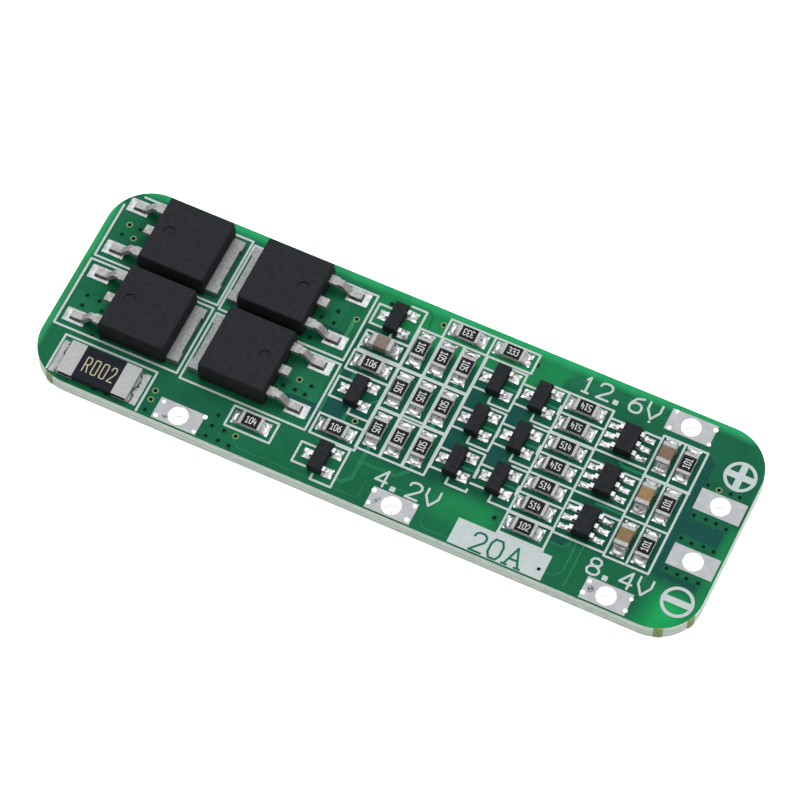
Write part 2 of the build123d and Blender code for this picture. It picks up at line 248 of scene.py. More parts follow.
# Bare windows between the copper areas
for window in (
    (4.86, 5.85, 2.2, 4.15), (8.65, 9.85, 2.2, 4.15), (4.86, 5.85, -2.1, 0.0), (8.65, 9.85, -2.1, 0.0),
    (-9.1, -6.1, -3.9, -2.85), (-9.3, -6.95, 3.0, 4.35), (-5.6, -3.8, -3.35, -1.9), (-5.5, -4.85, 0.4, 1.15),
    (-3.3, -1.75, -2.4, -1.7), (16.6, 17.9, -6.15, -5.5),
):
    BARE_ZONES.append((*window, 0.06, TEAL_GREEN))
BACKED_ZONES = [
    (-10.6, -7.7, 4.2, 7.1, 0.05, COPPER_GREEN),
    (-10.6, -6.2, -3.2, 0.4, 0.05, COPPER_GREEN),
    (-29.6, -26.1, -3.3, -1.4, 0.05, COPPER_GREEN),
    (11.0, 21.0, 8.0, 9.0, 0.5, COPPER_GREEN),
]
TRACE_ZONES = [(None, -6.2, 3.0, 6.0, 0.2, TRACE_GREEN)]


def green_mask(name, base, zones):
    """Solder mask: greens laid out over the board, with slow and fine variation, and the painted light of its
    glowing rim.
    """
    made = Finish(name, roughness=0.42, specular=0.02)
    tone = made.zoned(base, zones + RIM_GLOW)
    cloud = made.ramp(made.grain(2.6, detail=2.0), 0.35, 0.7, 0.18, 0.36)
    weave = made.ramp(made.grain(0.3, detail=2.0), 0.45, 0.8, 0.0, 0.07)
    tone = made.mix(cloud, tone, CLOUD_GREEN)
    tone = made.mix(weave, tone, WEAVE_GREEN)
    return made.colour(tone).bump(made.grain(0.25), 0.004).material


mask_over_laminate = green_mask("green_mask_over_laminate", (29, 112, 76), BARE_ZONES)
mask_over_copper = green_mask("green_mask_over_copper", (30, 106, 76), BACKED_ZONES)
mask_over_trace = green_mask("green_mask_over_trace", (44, 132, 92), TRACE_ZONES)
mask_in_gap = green_mask("green_mask_in_gap", (26, 118, 70), [])
mask_of_underside = green_mask("green_mask_of_underside", (30, 106, 76), [])

# The cut edge of the laminate: glass in layers, with a greyer band along its middle
core = Finish("glass_epoxy_edge", roughness=0.6, specular=0.15)
layers = core.grain(0.16, stretch=(0.25, 0.25, 1.0))
from_middle = core.maths("ABSOLUTE", core.maths("SUBTRACT", core.axis("z"), MASK_TOP / 2 * MM))
fibre = core.mix(core.ramp(layers, 0.3, 0.7), (206, 220, 209), (232, 242, 235))
core.colour(core.mix(core.ramp(from_middle, 0.0, 0.16 * MM), (192, 210, 197), fibre))
fibreglass = core.bump(layers, 0.02).material


def mottled(name, dark, light, spots, detail=3.0, edges=None, relief=0.0, stipple=None, **surface):
    """Two colours in soft spots. Edges sharpens the spots, relief raises them, and a stipple of a size,
    a detail and a depth roughens the surface."""
    made = Finish(name, **surface)
    patch = made.grain(spots, detail)
    made.colour(made.mix(made.ramp(patch, *edges) if edges else patch, dark, light))
    if relief:
        made.bump(patch, relief)
    if stipple:
        size, fine, depth = stipple
        made.bump(made.grain(size, fine), depth)
    return made.material


snapped_laminate = mottled("snapped_laminate", (116, 142, 84), (168, 178, 124), 0.18, detail=4.0,
                           edges=(0.35, 0.65), relief=0.06, roughness=0.8, specular=0.2)
white_ink = mottled("white_silkscreen", (190, 202, 202), (198, 208, 208), 0.3,
                    edges=(0.3, 0.7), relief=0.008, roughness=0.7, specular=0.05)
knocked_out = mottled("green_through_the_ink", (20, 98, 76), (30, 118, 88), 0.4,
                      roughness=0.45, specular=0.05)
resistor_glaze = mottled("resistor_glaze", (26, 28, 32), (38, 40, 44), 0.4,
                         stipple=(0.12, 3.0, 0.006), roughness=0.4, specular=0.03)
resistor_alumina = mottled("alumina_substrate", (176, 178, 176), (214, 216, 214), 0.15,
                           stipple=(0.08, 3.0, 0.006), roughness=0.6, specular=0.1)
shunt_coating = mottled("shunt_coating", (30, 31, 39), (40, 42, 50), 0.5,
                        stipple=(0.12, 4.0, 0.012), roughness=0.5, specular=0.03)
code_ink = mottled("code_ink", (214, 216, 214), (240, 241, 240), 0.15, roughness=0.6, specular=0.05)
shunt_ink = mottled("shunt_code_ink", (176, 168, 140), (214, 206, 176), 0.15, roughness=0.6, specular=0.05)
via_ring_copper = mottled("bare_via_ring", (96, 138, 88), (134, 164, 112), 0.15, roughness=0.5, specular=0.05)
# Via barrels and the fillings of covered vias are drawn near black: painted shade inside the holes
via_barrel_copper_painted_shade = mottled("via_barrel", (10, 26, 16), (24, 44, 30), 0.2, roughness=0.6, metallic=0.3)
mask_over_ring = mottled("green_mask_over_ring", (20, 88, 60), (26, 100, 70), 0.2,
                         roughness=0.4, specular=0.02)
mask_in_via_painted_shade = mottled("green_mask_in_via_painted_shade", (4, 28, 20), (8, 40, 28), 0.2, roughness=0.6, specular=0.02)
capacitor_ceramics = [
    mottled(name, dark, light, 0.22, edges=(0.3, 0.7), relief=0.008, roughness=0.5, specular=0.1)
    for name, dark, light in (
        ("capacitor_grey_brown", (120, 106, 95), (138, 124, 112)),
        ("capacitor_brown", (116, 96, 80), (134, 112, 94)),
        ("capacitor_tan", (140, 114, 80), (160, 132, 96)),
        ("capacitor_olive_tan", (126, 104, 72), (146, 122, 88)),
    )
]


def moulded(name, dark, light):
    """Black moulding compound: near black, with a fine stipple and a few pale specks."""
    made = Finish(name, roughness=0.62, specular=0.03)
    cloud = made.ramp(made.grain(0.5, detail=4.0), 0.3, 0.7)
    made.colour(made.mix(cloud, dark, light))
    made.over(made.maths("MULTIPLY", made.specks(0.6, 0.02, 0.1), 0.5), (112, 114, 116))
    return made.bump(made.grain(0.05, detail=2.0), 0.006).material


power_epoxy = moulded("power_moulding", (42, 43, 47), (46, 48, 51))
small_epoxy = moulded("small_moulding", (38, 40, 44), (45, 47, 51))


def tinned(name, bright, dull, roughness, metallic, spots, depth):
    """Tinned copper or solder: two greys in soft patches, with a fine ripple."""
    made = Finish(name, roughness=roughness, metallic=metallic, specular=0.2)
    patch = made.grain(spots, detail=4.0, roughness=0.6)
    made.colour(made.mix(made.ramp(patch, 0.35, 0.65), dull, bright))
    made.give("Roughness", made.ramp(made.grain(spots * 0.5), 0.3, 0.7, roughness - 0.08, roughness + 0.1))
    return made.bump(patch, depth)


LAND_TIN = ((182, 184, 187), (170, 173, 176), 0.5, 0.15, 0.8, 0.015)
tinned_land = tinned("tinned_land", *LAND_TIN).material
pad_tin = tinned("tinned_pad", (204, 207, 210), (184, 187, 190), 0.4, 0.2, 0.5, 0.015).material
cap_tin = tinned("end_cap_tin", (180, 180, 180), (160, 161, 162), 0.5, 0.3, 0.2, 0.01).material
pin_tin = tinned("tinned_pin", (206, 206, 208), (166, 168, 170), 0.35, 0.5, 0.3, 0.015).material
shunt_tin = tinned("shunt_terminal_tin", (180, 182, 181), (168, 169, 169), 0.55, 0.2, 0.2, 0.008).material
foot_tin = tinned("lead_foot_solder", (192, 196, 198), (162, 166, 168), 0.36, 0.4, 0.4, 0.015).material
# The beads round the power feet are dark tin: painted shade along each foot's sides and tip
bead_solder_painted_shade = tinned("foot_bead_solder_painted_shade", (128, 130, 132), (74, 76, 78), 0.3, 0.8, 0.2, 0.01).material
# The corner spots of the lands are near white: painted light
painted_light_spot = tinned("painted_light_corner_spot", (252, 252, 252), (244, 245, 246), 0.35, 0.1, 0.3, 0.01).material
barrel_tin = tinned("wire_hole_tin", (252, 252, 252), (238, 239, 240), 0.2, 0.9, 0.5, 0.01).material

# Three of the lands have a scorched spot
scorched = tinned("scorched_tinned_land", *LAND_TIN)
for x, y, radius, stretch, turn in (
    (21.46, -8.8, 0.3, (1.0, 1.0), 0.0),
    (2.2, -8.9, 0.22, (0.7, 1.7), -30.0),
    (-17.06, -9.35, 0.2, (1.3, 0.9), 0.0),
):
    mark = scorched.spot_zone(x, y, radius, 0.12, stretch, turn)
    patchy = scorched.ramp(scorched.grain(0.12), 0.35, 0.6)
    scorched.over(scorched.maths("MULTIPLY", mark, patchy), (60, 62, 66))
scorched_land = scorched.material

# The power packages' leads are brighter than their tabs, which lie between the two columns of mouldings
lead_frame = tinned("tinned_lead_frame", (172, 171, 170), (142, 142, 144), 0.45, 0.3, 0.3, 0.015)
tab_patch = lead_frame.ramp(lead_frame.grain(0.1, detail=4.0), 0.35, 0.65)
tab_colour = lead_frame.mix(tab_patch, (124, 126, 128), (150, 152, 153))
lead_frame_tin = lead_frame.over(lead_frame.box_zone(-19.8, -16.2, None, None, 0.05), tab_colour).material

# The solder at the shunt's ends has a dark seam that wanders along each terminal
shunt_joint = tinned("shunt_joint_solder", (178, 182, 182), (156, 160, 160), 0.45, 0.2, 0.4, 0.02)
from_mean = shunt_joint.maths("SUBTRACT", shunt_joint.grain(0.5), 0.5)
wander = shunt_joint.maths("MULTIPLY", from_mean, 0.9 * MM)
for seam_x in (-27.24, -20.42):
    from_seam = shunt_joint.maths("SUBTRACT", shunt_joint.axis("x"), seam_x * MM)
    from_seam = shunt_joint.maths("ABSOLUTE", shunt_joint.maths("ADD", from_seam, wander))
    shunt_joint.over(shunt_joint.ramp(from_seam, 0.03 * MM, 0.09 * MM, 0.95, 0.0), (40, 42, 44))
shunt_joint_solder = shunt_joint.material

# Bright solder with patches of dark residue
bright = tinned("bright_solder", (226, 227, 229), (186, 188, 191), 0.24, 0.85, 0.4, 0.02)
residue = bright.ramp(bright.grain(0.36), 0.57, 0.64, 0.0, 0.8)
solder = bright.over(residue, (58, 60, 60)).material


def in_scene(name, data):
    """Object of its data, in the scene."""
    made = bpy.data.objects.new(name, data)
    bpy.context.scene.collection.objects.link(made)
    return made


# Building in millimetres. Edges are shaded smooth up to these angles between their faces
FLAT_ANGLE = 12.0
SMOOTH_ANGLE = 35.0
ROUND_ANGLE = 60.0


def link(name, mesh, material, smooth=SMOOTH_ANGLE):
    """Object at the origin whose mesh, drawn in millimetres, becomes metres."""
    mesh.transform(Matrix.Scale(MM, 4))
    mesh.materials.clear()
    mesh.materials.append(material)
    mesh.shade_smooth()
    mesh.set_sharp_from_angle(angle=math.radians(smooth))
    return in_scene(name, mesh)


def finished(made, stands_for=()):
    """Ride on the board, and stand for CAD nodes."""
    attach(made, "root")
    if stands_for:
        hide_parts(*stands_for)
    return made


def drop(made):
    """Remove a helper object with its data."""
    data = made.data
    bpy.data.objects.remove(made)
    if isinstance(data, bpy.types.Mesh):
        bpy.data.meshes.remove(data)
    else:
        bpy.data.curves.remove(data)


def mesh_of(name, work):
    """Mesh from a bmesh, its faces turned outwards."""
    bmesh.ops.recalc_face_normals(work, faces=work.faces)
    mesh = bpy.data.meshes.new(name)
    work.to_mesh(mesh)
    work.free()
    return mesh


def plate_mesh(name, outlines, low, high, edge=0.0):
    """Flat closed plate between two levels. Outlines inside another cut holes; edge rounds its rims."""
    curve = bpy.data.curves.new(name, "CURVE")
    curve.dimensions = "2D"
    curve.fill_mode = "BOTH"
    curve.extrude = (high - low) / 2 - edge
    curve.bevel_depth = edge
    curve.bevel_resolution = 1
    curve.offset = -edge
    for outline in outlines:
        spline = curve.splines.new("POLY")
        spline.points.add(len(outline) - 1)
        for point, (x, y) in zip(spline.points, outline):
            point.co = (x, y, 0.0, 1.0)
        spline.use_cyclic_u = True
    source = in_scene(name, curve)
    bpy.context.view_layer.update()
    mesh = bpy.data.meshes.new_from_object(source.evaluated_get(bpy.context.evaluated_depsgraph_get()))
    drop(source)
    mesh.transform(Matrix.Translation((0.0, 0.0, (low + high) / 2)))
    work = bmesh.new()
    work.from_mesh(mesh)
    bmesh.ops.remove_doubles(work, verts=work.verts, dist=1e-4)
    bmesh.ops.recalc_face_normals(work, faces=work.faces)
    work.to_mesh(mesh)
    work.free()
    mesh.name = name
    return mesh


def circle(x, y, radius, sides):
    """Corners of a regular outline round a point."""
    step = 2 * math.pi / sides
    return [(x + radius * math.cos(i * step), y + radius * math.sin(i * step)) for i in range(sides)]


def rectangle(x0, x1, y0, y1):
    """Corners of an outline along the board's axes."""
    return [(x0, y0), (x1, y0), (x1, y1), (x0, y1)]


def arc(x, y, radius, start, end, steps):
    """Points along an arc, angles in degrees."""
    angles = [math.radians(start + (end - start) * i / steps) for i in range(steps + 1)]
    return [(x + radius * math.cos(a), y + radius * math.sin(a)) for a in angles]


def loft_mesh(name, sections, tube=False):
    """Closed solid through rings of equal length. In a tube the last ring runs back to the first."""
    work = bmesh.new()
    rings = [[work.verts.new(point) for point in section] for section in sections]
    for lower, upper in zip(rings, rings[1:] + rings[:1] if tube else rings[1:]):
        for i in range(len(lower)):
            j = (i + 1) % len(lower)
            work.faces.new((lower[i], lower[j], upper[j], upper[i]))
    if not tube:
        work.faces.new(reversed(rings[0]))
        work.faces.new(rings[-1])
    return mesh_of(name, work)


def block_mesh(name, low, high, edge):
    """Block with rounded edges."""
    work = bmesh.new()
    bmesh.ops.create_cube(work, size=1.0)
    size = [b - a for a, b in zip(low, high)]
    middle = [(a + b) / 2 for a, b in zip(low, high)]
    bmesh.ops.transform(work, matrix=Matrix.Diagonal((*size, 1.0)), verts=work.verts)
    bmesh.ops.translate(work, vec=middle, verts=work.verts)
    bmesh.ops.bevel(work, geom=work.edges, offset=edge, segments=2, profile=0.6, affect="EDGES")
    return mesh_of(name, work)


def both_ends(name, mesh):
    """A shape of one end with its twin, half a turn round."""
    twin = mesh.copy()
    twin.transform(Matrix.Rotation(math.pi, 4, "Z"))
    return joined(name, [mesh, twin])


def joined(name, meshes):
    """One mesh from several."""
    work = bmesh.new()
    for mesh in meshes:
        work.from_mesh(mesh)
    made = bpy.data.meshes.new(name)
    work.to_mesh(made)
    work.free()
    return made


# Geometry node trees
class Tree(Graph):
    """A geometry node tree with named inputs, turned on a mesh and then made plain."""

    def __init__(self, name, inputs):
        self.group = bpy.data.node_groups.new(name, "GeometryNodeTree")
        self.group.is_modifier = True
        super().__init__(self.group)
        face = self.group.interface
        face.new_socket("Geometry", in_out="INPUT", socket_type="NodeSocketGeometry")
        for label, kind, value in inputs:
            socket = face.new_socket(label, in_out="INPUT", socket_type=kind)
            if value is not None:
                socket.default_value = value
        face.new_socket("Geometry", in_out="OUTPUT", socket_type="NodeSocketGeometry")
        self.start = self.node("NodeGroupInput")
        self.end = self.node("NodeGroupOutput")

    def given(self, label):
        return self.start.outputs[label]

    def vector(self, x, y, z):
        return self.node("ShaderNodeCombineXYZ", {0: x, 1: y, 2: z}).outputs[0]

    def points_of(self, geometry, mode):
        """A point at each vertex, or at the middle of each edge."""
        return self.node("GeometryNodeMeshToPoints", {"Mesh": geometry}, mode=mode).outputs[0]

    def raised(self, shape):
        """A unit shape lifted to stand on its own base."""
        inputs = {"Geometry": shape.outputs["Mesh"], "Translation": (0.0, 0.0, 0.5)}
        return self.node("GeometryNodeTransform", inputs).outputs[0]

    def spread(self, points, shape, turn, size):
        """The shape at each point, turned about the vertical, with its size along each axis."""
        inputs = {"Points": points, "Instance": shape}
        inputs["Rotation"] = self.vector(0.0, 0.0, turn)
        inputs["Scale"] = self.vector(*size)
        return self.node("GeometryNodeInstanceOnPoints", inputs).outputs[0]

    def close(self, geometry):
        """Realize the instances, set the material and end the tree."""
        real = self.node("GeometryNodeRealizeInstances", {0: geometry})
        inputs = {"Geometry": real.outputs[0], "Material": self.given("Material")}
        painted = self.node("GeometryNodeSetMaterial", inputs)
        self.feed(self.end.inputs[0], painted.outputs[0])

    def run(self, name, mesh, values, smooth=SMOOTH_ANGLE):
        """Plain object made by this tree from a mesh in metres."""
        made = in_scene(name, mesh)
        modifier = made.modifiers.new("make", "NODES")
        modifier.node_group = self.group
        for item in self.group.interface.items_tree:
            if item.item_type == "SOCKET" and item.in_out == "INPUT" and item.name in values:
                modifier[item.identifier] = values[item.name]
        bpy.context.view_layer.update()
        plain = bpy.data.meshes.new_from_object(made.evaluated_get(bpy.context.evaluated_depsgraph_get()))
        made.modifiers.remove(modifier)
        made.data = plain
        plain.name = name
        bpy.data.meshes.remove(mesh)
        plain.shade_smooth()
        plain.set_sharp_from_angle(angle=math.radians(smooth))
        return made


# Ink strokes: a bar along each edge of the drawn lines and a round end at each of their points
strokes = Tree("ink_strokes", [
    ("Line width", "NodeSocketFloat", 0.0002),
    ("Ink height", "NodeSocketFloat", 0.00003),
    ("Round sides", "NodeSocketInt", 12),
    ("Material", "NodeSocketMaterial", None),
])
# Each stroke is a little higher or lower than the next, so that no two tops share a plane where they cross
stagger = strokes.maths("MODULO", strokes.node("GeometryNodeInputIndex").outputs[0], 23.0)
stagger = strokes.maths("MULTIPLY_ADD", stagger, 0.0073)
stagger.node.inputs[2].default_value = 0.84
line_width = strokes.given("Line width")
tall = strokes.maths("MULTIPLY", strokes.given("Ink height"), stagger)
ends = strokes.node("GeometryNodeInputMeshEdgeVertices")
run_inputs = {0: ends.outputs["Position 2"], 1: ends.outputs["Position 1"]}
run_of_edge = strokes.node("ShaderNodeVectorMath", run_inputs, operation="SUBTRACT")
captured = strokes.node("GeometryNodeCaptureAttribute", domain="EDGE")
captured.capture_items.new("VECTOR", "Run")
strokes.feed(captured.inputs["Geometry"], strokes.given("Geometry"))
strokes.feed(captured.inputs["Run"], run_of_edge.outputs[0])
run_along = captured.outputs["Run"]
run_parts = strokes.node("ShaderNodeSeparateXYZ", {0: run_along})
run_turn = strokes.maths("ARCTAN2", run_parts.outputs[1], run_parts.outputs[0])
run_length = strokes.node("ShaderNodeVectorMath", {0: run_along}, operation="LENGTH").outputs["Value"]
middles = strokes.points_of(captured.outputs["Geometry"], "EDGES")
unit_bar = strokes.raised(strokes.node("GeometryNodeMeshCube", {"Size": (1.0, 1.0, 1.0)}))
bars = strokes.spread(middles, unit_bar, run_turn, (run_length, line_width, tall))
tips = strokes.points_of(strokes.given("Geometry"), "VERTICES")
disc_inputs = {"Vertices": strokes.given("Round sides"), "Radius": 0.5, "Depth": 1.0}
unit_disc = strokes.raised(strokes.node("GeometryNodeMeshCylinder", disc_inputs))
disc_tall = strokes.maths("MULTIPLY", tall, 0.985)
discs = strokes.spread(tips, unit_disc, 0.0, (line_width, line_width, disc_tall))
both = strokes.node("GeometryNodeJoinGeometry")
strokes.feed(both.inputs[0], bars)
strokes.feed(both.inputs[0], discs)
strokes.close(both.outputs[0])


def inked(name, lines, level, width, height, material):
    """Ink strokes along lines drawn on the board in millimetres, from a level up."""
    points, edges = [], []
    for line in lines:
        first = len(points)
        points += [(x * MM, y * MM, level * MM) for x, y in line]
        edges += [(first + i, first + i + 1) for i in range(len(line) - 1)]
    mesh = bpy.data.meshes.new(name)
    mesh.from_pydata(points, edges, [])
    values = {"Line width": width * MM, "Ink height": height * MM, "Material": material}
    return finished(strokes.run(name, mesh, values))


# A shape at each of several points of the board, turned as each point says, with a ripple on its free surface
repeats = Tree("repeated_shape", [
    ("Shape", "NodeSocketObject", None),
    ("Ripple", "NodeSocketFloat", 0.0),
    ("Ripple size", "NodeSocketFloat", 0.0004),
    ("Seed", "NodeSocketInt", 3),
    ("Material", "NodeSocketMaterial", None),
])


def named(attribute):
    """Value of an attribute of the points or of the shape."""
    return repeats.node("GeometryNodeInputNamedAttribute", {"Name": attribute}, data_type="FLOAT").outputs[0]


shape_source = repeats.node("GeometryNodeObjectInfo", {"Object": repeats.given("Shape")})
grow = named("grow")
places = repeats.points_of(repeats.given("Geometry"), "VERTICES")
shapes = repeats.spread(places, shape_source.outputs["Geometry"], named("turn"), (grow, grow, 1.0))
shapes = repeats.node("GeometryNodeRealizeInstances", {0: shapes}).outputs[0]
noise_size = repeats.maths("DIVIDE", 1.0, repeats.given("Ripple size"))
noise_inputs = {"W": repeats.given("Seed"), "Scale": noise_size, "Detail": 1.0}
noise = repeats.node("ShaderNodeTexNoise", noise_inputs, noise_dimensions="4D")
lift = repeats.maths("SUBTRACT", noise.outputs["Fac"], 0.5)
lift = repeats.maths("MULTIPLY", lift, named("loose"))
lift = repeats.maths("MULTIPLY", lift, repeats.given("Ripple"))
rippled = {"Geometry": shapes, "Offset": repeats.vector(0.0, 0.0, lift)}
repeats.close(repeats.node("GeometryNodeSetPosition", rippled).outputs[0])


def repeated(name, shape_mesh, places, material, slot=None, stands_for=(), ripple=0.0, seed=3,
             smooth=SMOOTH_ANGLE):
    """A shape drawn in millimetres at each (x, y, z, turn in degrees) or (x, y, z, turn, grow)."""
    shape = link(name + "_shape", shape_mesh, material, smooth)
    points = bpy.data.meshes.new(name)
    points.from_pydata([(place[0] * MM, place[1] * MM, place[2] * MM) for place in places], [], [])
    turns = points.attributes.new("turn", "FLOAT", "POINT")
    grows = points.attributes.new("grow", "FLOAT", "POINT")
    for i, place in enumerate(places):
        turns.data[i].value = math.radians(place[3])
        grows.data[i].value = place[4] if len(place) > 4 else 1.0
    values = {"Shape": shape, "Ripple": ripple * MM, "Seed": seed, "Material": material}
    made = repeats.run(name, points, values, smooth)
    drop(shape)
    return finished(made, stands_for)


# Where the packages stand, from the solids
def middle_of(node):
    """Middle of a node's box, in millimetres."""
    low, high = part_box(node)
    return (low + high) / (2 * MM)


def chip_place(node):
    """(x, y, seat, turn) of a two-ended package."""
    low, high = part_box(node)
    size = high - low
    centre = middle_of(node)
    return (centre.x, centre.y, SEAT, 0.0 if size.x > size.y else 90.0)


resistors = [f"resistor_{i:02d}" for i in range(1, 25)]
resistor_places = [chip_place(node) for node in resistors]
capacitors = [f"capacitor_{i}" for i in range(1, 5)]
capacitor_places = [chip_place(node) for node in capacitors]
shunt_middle = middle_of("shunt_element")
small_transistors = [f"transistor_{i}" for i in range(1, 10)]
cell_monitors = [f"cell_monitor_{i}" for i in range(1, 4)]
wire_holes = []
for mount in frame["record"]["mounts"]:
    if mount["kind"] == "bore":
        hole = Vector(mount["pos_m"]) / MM
        wire_holes.append((hole.x, hole.y))

# Board: laminate, mask on both faces, copper under the mask
VIA_RADIUS = 0.165
VIA_SIDES = 12
WIRE_HOLE_SIDES = 40
PLATING = 0.02
open_vias = [
    (-28.18, 6.0), (-27.26, 4.92), (-18.87, -7.47), (-18.84, -8.38), (-10.91, -8.48),
    (-6.71, 5.9), (-8.49, -1.38), (0.16, 8.55), (-2.59, -2.97), (27.28, 4.05),
]
covered_vias = [
    (-27.14, 5.95), (-28.34, 4.88), (-28.22, -1.72), (-27.04, -1.78), (-28.18, -2.78), (-26.4, -2.6),
    (-26.1, -5.05), (-25.2, -5.1), (-23.59, -9.47), (-22.46, -9.5), (-18.84, -9.45), (-13.09, -7.32),
    (-13.12, -8.42), (-12.02, -8.42), (-13.19, -9.52), (-12.07, -9.48), (-11.04, -9.55), (-8.44, 5.93),
    (-8.29, 4.75), (-9.5, 4.85), (-9.49, 2.65), (-7.32, -1.53), (-9.49, -2.45), (-8.41, -2.4),
    (-7.47, -2.48), (-4.64, 8.52), (8.86, 8.38), (11.66, -6.2), (16.89, -8.93),
    (26.28, 4.1), (28.29, 4.13), (29.09, 4.15), (26.34, 1.03), (27.38, 1.08), (28.28, 1.08), (29.24, 0.95),
    (26.23, -1.35), (27.19, -1.45), (28.19, -1.3), (29.13, -1.37),
    (26.26, -4.4), (27.28, -4.53), (28.11, -4.58), (29.14, -4.55),
]
all_vias = open_vias + covered_vias


def corner_centre(x_side, y_side):
    """Centre of the arc at one of the board's corners."""
    return (x_side * (HALF_LENGTH - CORNER_RADIUS), y_side * (HALF_WIDTH - CORNER_RADIUS))


board_outline = []
for x_side, y_side, start in ((1, -1, 270), (1, 1, 0), (-1, 1, 90), (-1, -1, 180)):
    board_outline += arc(*corner_centre(x_side, y_side), CORNER_RADIUS, start, start + 90, 14)
board_holes = [circle(x, y, WIRE_HOLE_RADIUS + PLATING, WIRE_HOLE_SIDES) for x, y in wire_holes]
board_holes += [circle(x, y, VIA_RADIUS, VIA_SIDES) for x, y in all_vias]


def plate(name, outlines, low, high, material, edge=0.0, stands_for=()):
    """Flat piece of the board, its faces kept flat."""
    mesh = plate_mesh(name, outlines, low, high, edge)
    return finished(link(name, mesh, material, FLAT_ANGLE), stands_for)


plate("laminate_core", [board_outline] + board_holes, CORE_LOW, CORE_HIGH, fibreglass,
      stands_for=["circuit_board"])
plate("mask_component_side", [board_outline] + board_holes, CORE_HIGH, MASK_TOP, mask_over_laminate,
      0.012)
plate("mask_underside", [board_outline] + board_holes, MASK_LOW, CORE_LOW, mask_of_underside,
      0.008)


def rounded(points, radius, steps=3):
    """A closed outline with its corners eased."""
    eased = []
    for i, corner in enumerate(points):
        corner = Vector(corner)
        before, after = Vector(points[i - 1]), Vector(points[(i + 1) % len(points)])
        start = corner + (before - corner).normalized() * radius
        end = corner + (after - corner).normalized() * radius
        for k in range(steps + 1):
            t = k / steps
            point = start * (1 - t) ** 2 + corner * 2 * t * (1 - t) + end * t ** 2
            eased.append((point.x, point.y))
    return eased


def within(x, y, outline):
    """Whether a point lies inside a closed outline."""
    inside = False
    for (x0, y0), (x1, y1) in zip(outline, outline[1:] + outline[:1]):
        if (y0 > y) != (y1 > y) and x < x0 + (y - y0) / (y1 - y0) * (x1 - x0):
            inside = not inside
    return inside


# Copper areas that show as a step in the mask
COPPER_STEP = 0.018
copper_areas = {
    "supply_copper": (0.15, [
        (11.62, 7.14), (16.44, 7.14), (16.44, 6.42), (21.14, 6.42), (21.14, 6.8), (25.25, 6.8), (26.05, 6.1),
        (26.05, 0.62), (29.75, 0.62), (29.75, 6.9), (29.2, 7.9), (28.2, 8.9), (26.8, 9.35), (20.7, 9.35),
        (20.7, 8.62), (12.35, 8.62), (11.62, 8.05),
    ]),
    "pack_negative_copper": (0.3, rectangle(25.95, 29.72, -4.85, -1.0)),
    "switch_3_copper": (0.35, rectangle(-10.6, -7.75, 4.35, 7.0)),
    "switch_4_copper": (0.12, [
        (-10.6, 0.3), (-6.35, 0.3), (-6.35, -2.85), (-8.6, -2.85), (-9.1, -3.1), (-10.6, -3.1),
    ]),
    "switch_2_copper": (0.1, rectangle(-29.35, -26.2, -3.25, -1.5)),
    "cell_negative_copper": (0.3, [
        (-19.35, -9.65), (-12.45, -9.65), (-12.45, -6.5), (-12.95, -6.02), (-19.35, -6.02),
    ]),
}
for name, (radius, corners) in copper_areas.items():
    area = rounded(corners, radius)
    holes = [circle(x, y, VIA_RADIUS, VIA_SIDES) for x, y in all_vias if within(x, y, area)]
    for x, y in wire_holes:
        if within(x, y, area):
            holes.append(circle(x, y, WIRE_HOLE_RADIUS + 0.03, WIRE_HOLE_SIDES))
    plate(name, [area] + holes, MASK_TOP, MASK_TOP + COPPER_STEP, mask_over_copper, 0.006)

# Stubs left where the board was snapped out of its panel, each with a torn outer edge
random.seed(11)
STUB_HALF = 0.4
STUB_TEETH = 8
STUB_ROOT = CORNER_RADIUS - 0.1
STUB_LOW = 0.12
STUB_HIGH = 1.585
stub_meshes = []
for (x, y), angle in (
    (corner_centre(-1, -1), 248.0),
    (corner_centre(1, -1), 294.0),
    (corner_centre(1, -1), 336.0),
):
    outline = []
    for i in range(STUB_TEETH + 1):
        tear = 0.06 + 0.05 * random.random() if 0 < i < STUB_TEETH else -0.02
        outline.append((CORNER_RADIUS + tear, STUB_HALF * (1 - 2 * i / STUB_TEETH)))
    outline += [(STUB_ROOT, -STUB_HALF), (STUB_ROOT, STUB_HALF)]
    cosine, sine = math.cos(math.radians(angle)), math.sin(math.radians(angle))
    outline = [(x + out * cosine - side * sine, y + out * sine + side * cosine) for out, side in outline]
    stub_meshes.append(plate_mesh("stub", [outline], STUB_LOW, STUB_HIGH))
finished(link("snapped_stubs", joined("snapped_stubs", stub_meshes), snapped_laminate))


# Plating and rings of the vias and of the wire holes, drawn at the board's own levels
def ring_mesh(name, outer, inner, low, high, sides):
    """Open tube with a wall."""
    wall = ((outer, low), (outer, high), (inner, high), (inner, low))
    sections = [[(x, y, level) for x, y in circle(0.0, 0.0, radius, sides)] for radius, level in wall]
    return loft_mesh(name, sections, tube=True)


def at_holes(name, shape, centres, material, slot="tinned_copper", smooth=SMOOTH_ANGLE):
    """A shape at each of several holes."""
    repeated(name, shape, [(x, y, 0.0, 0.0) for x, y in centres], material, slot, smooth=smooth)


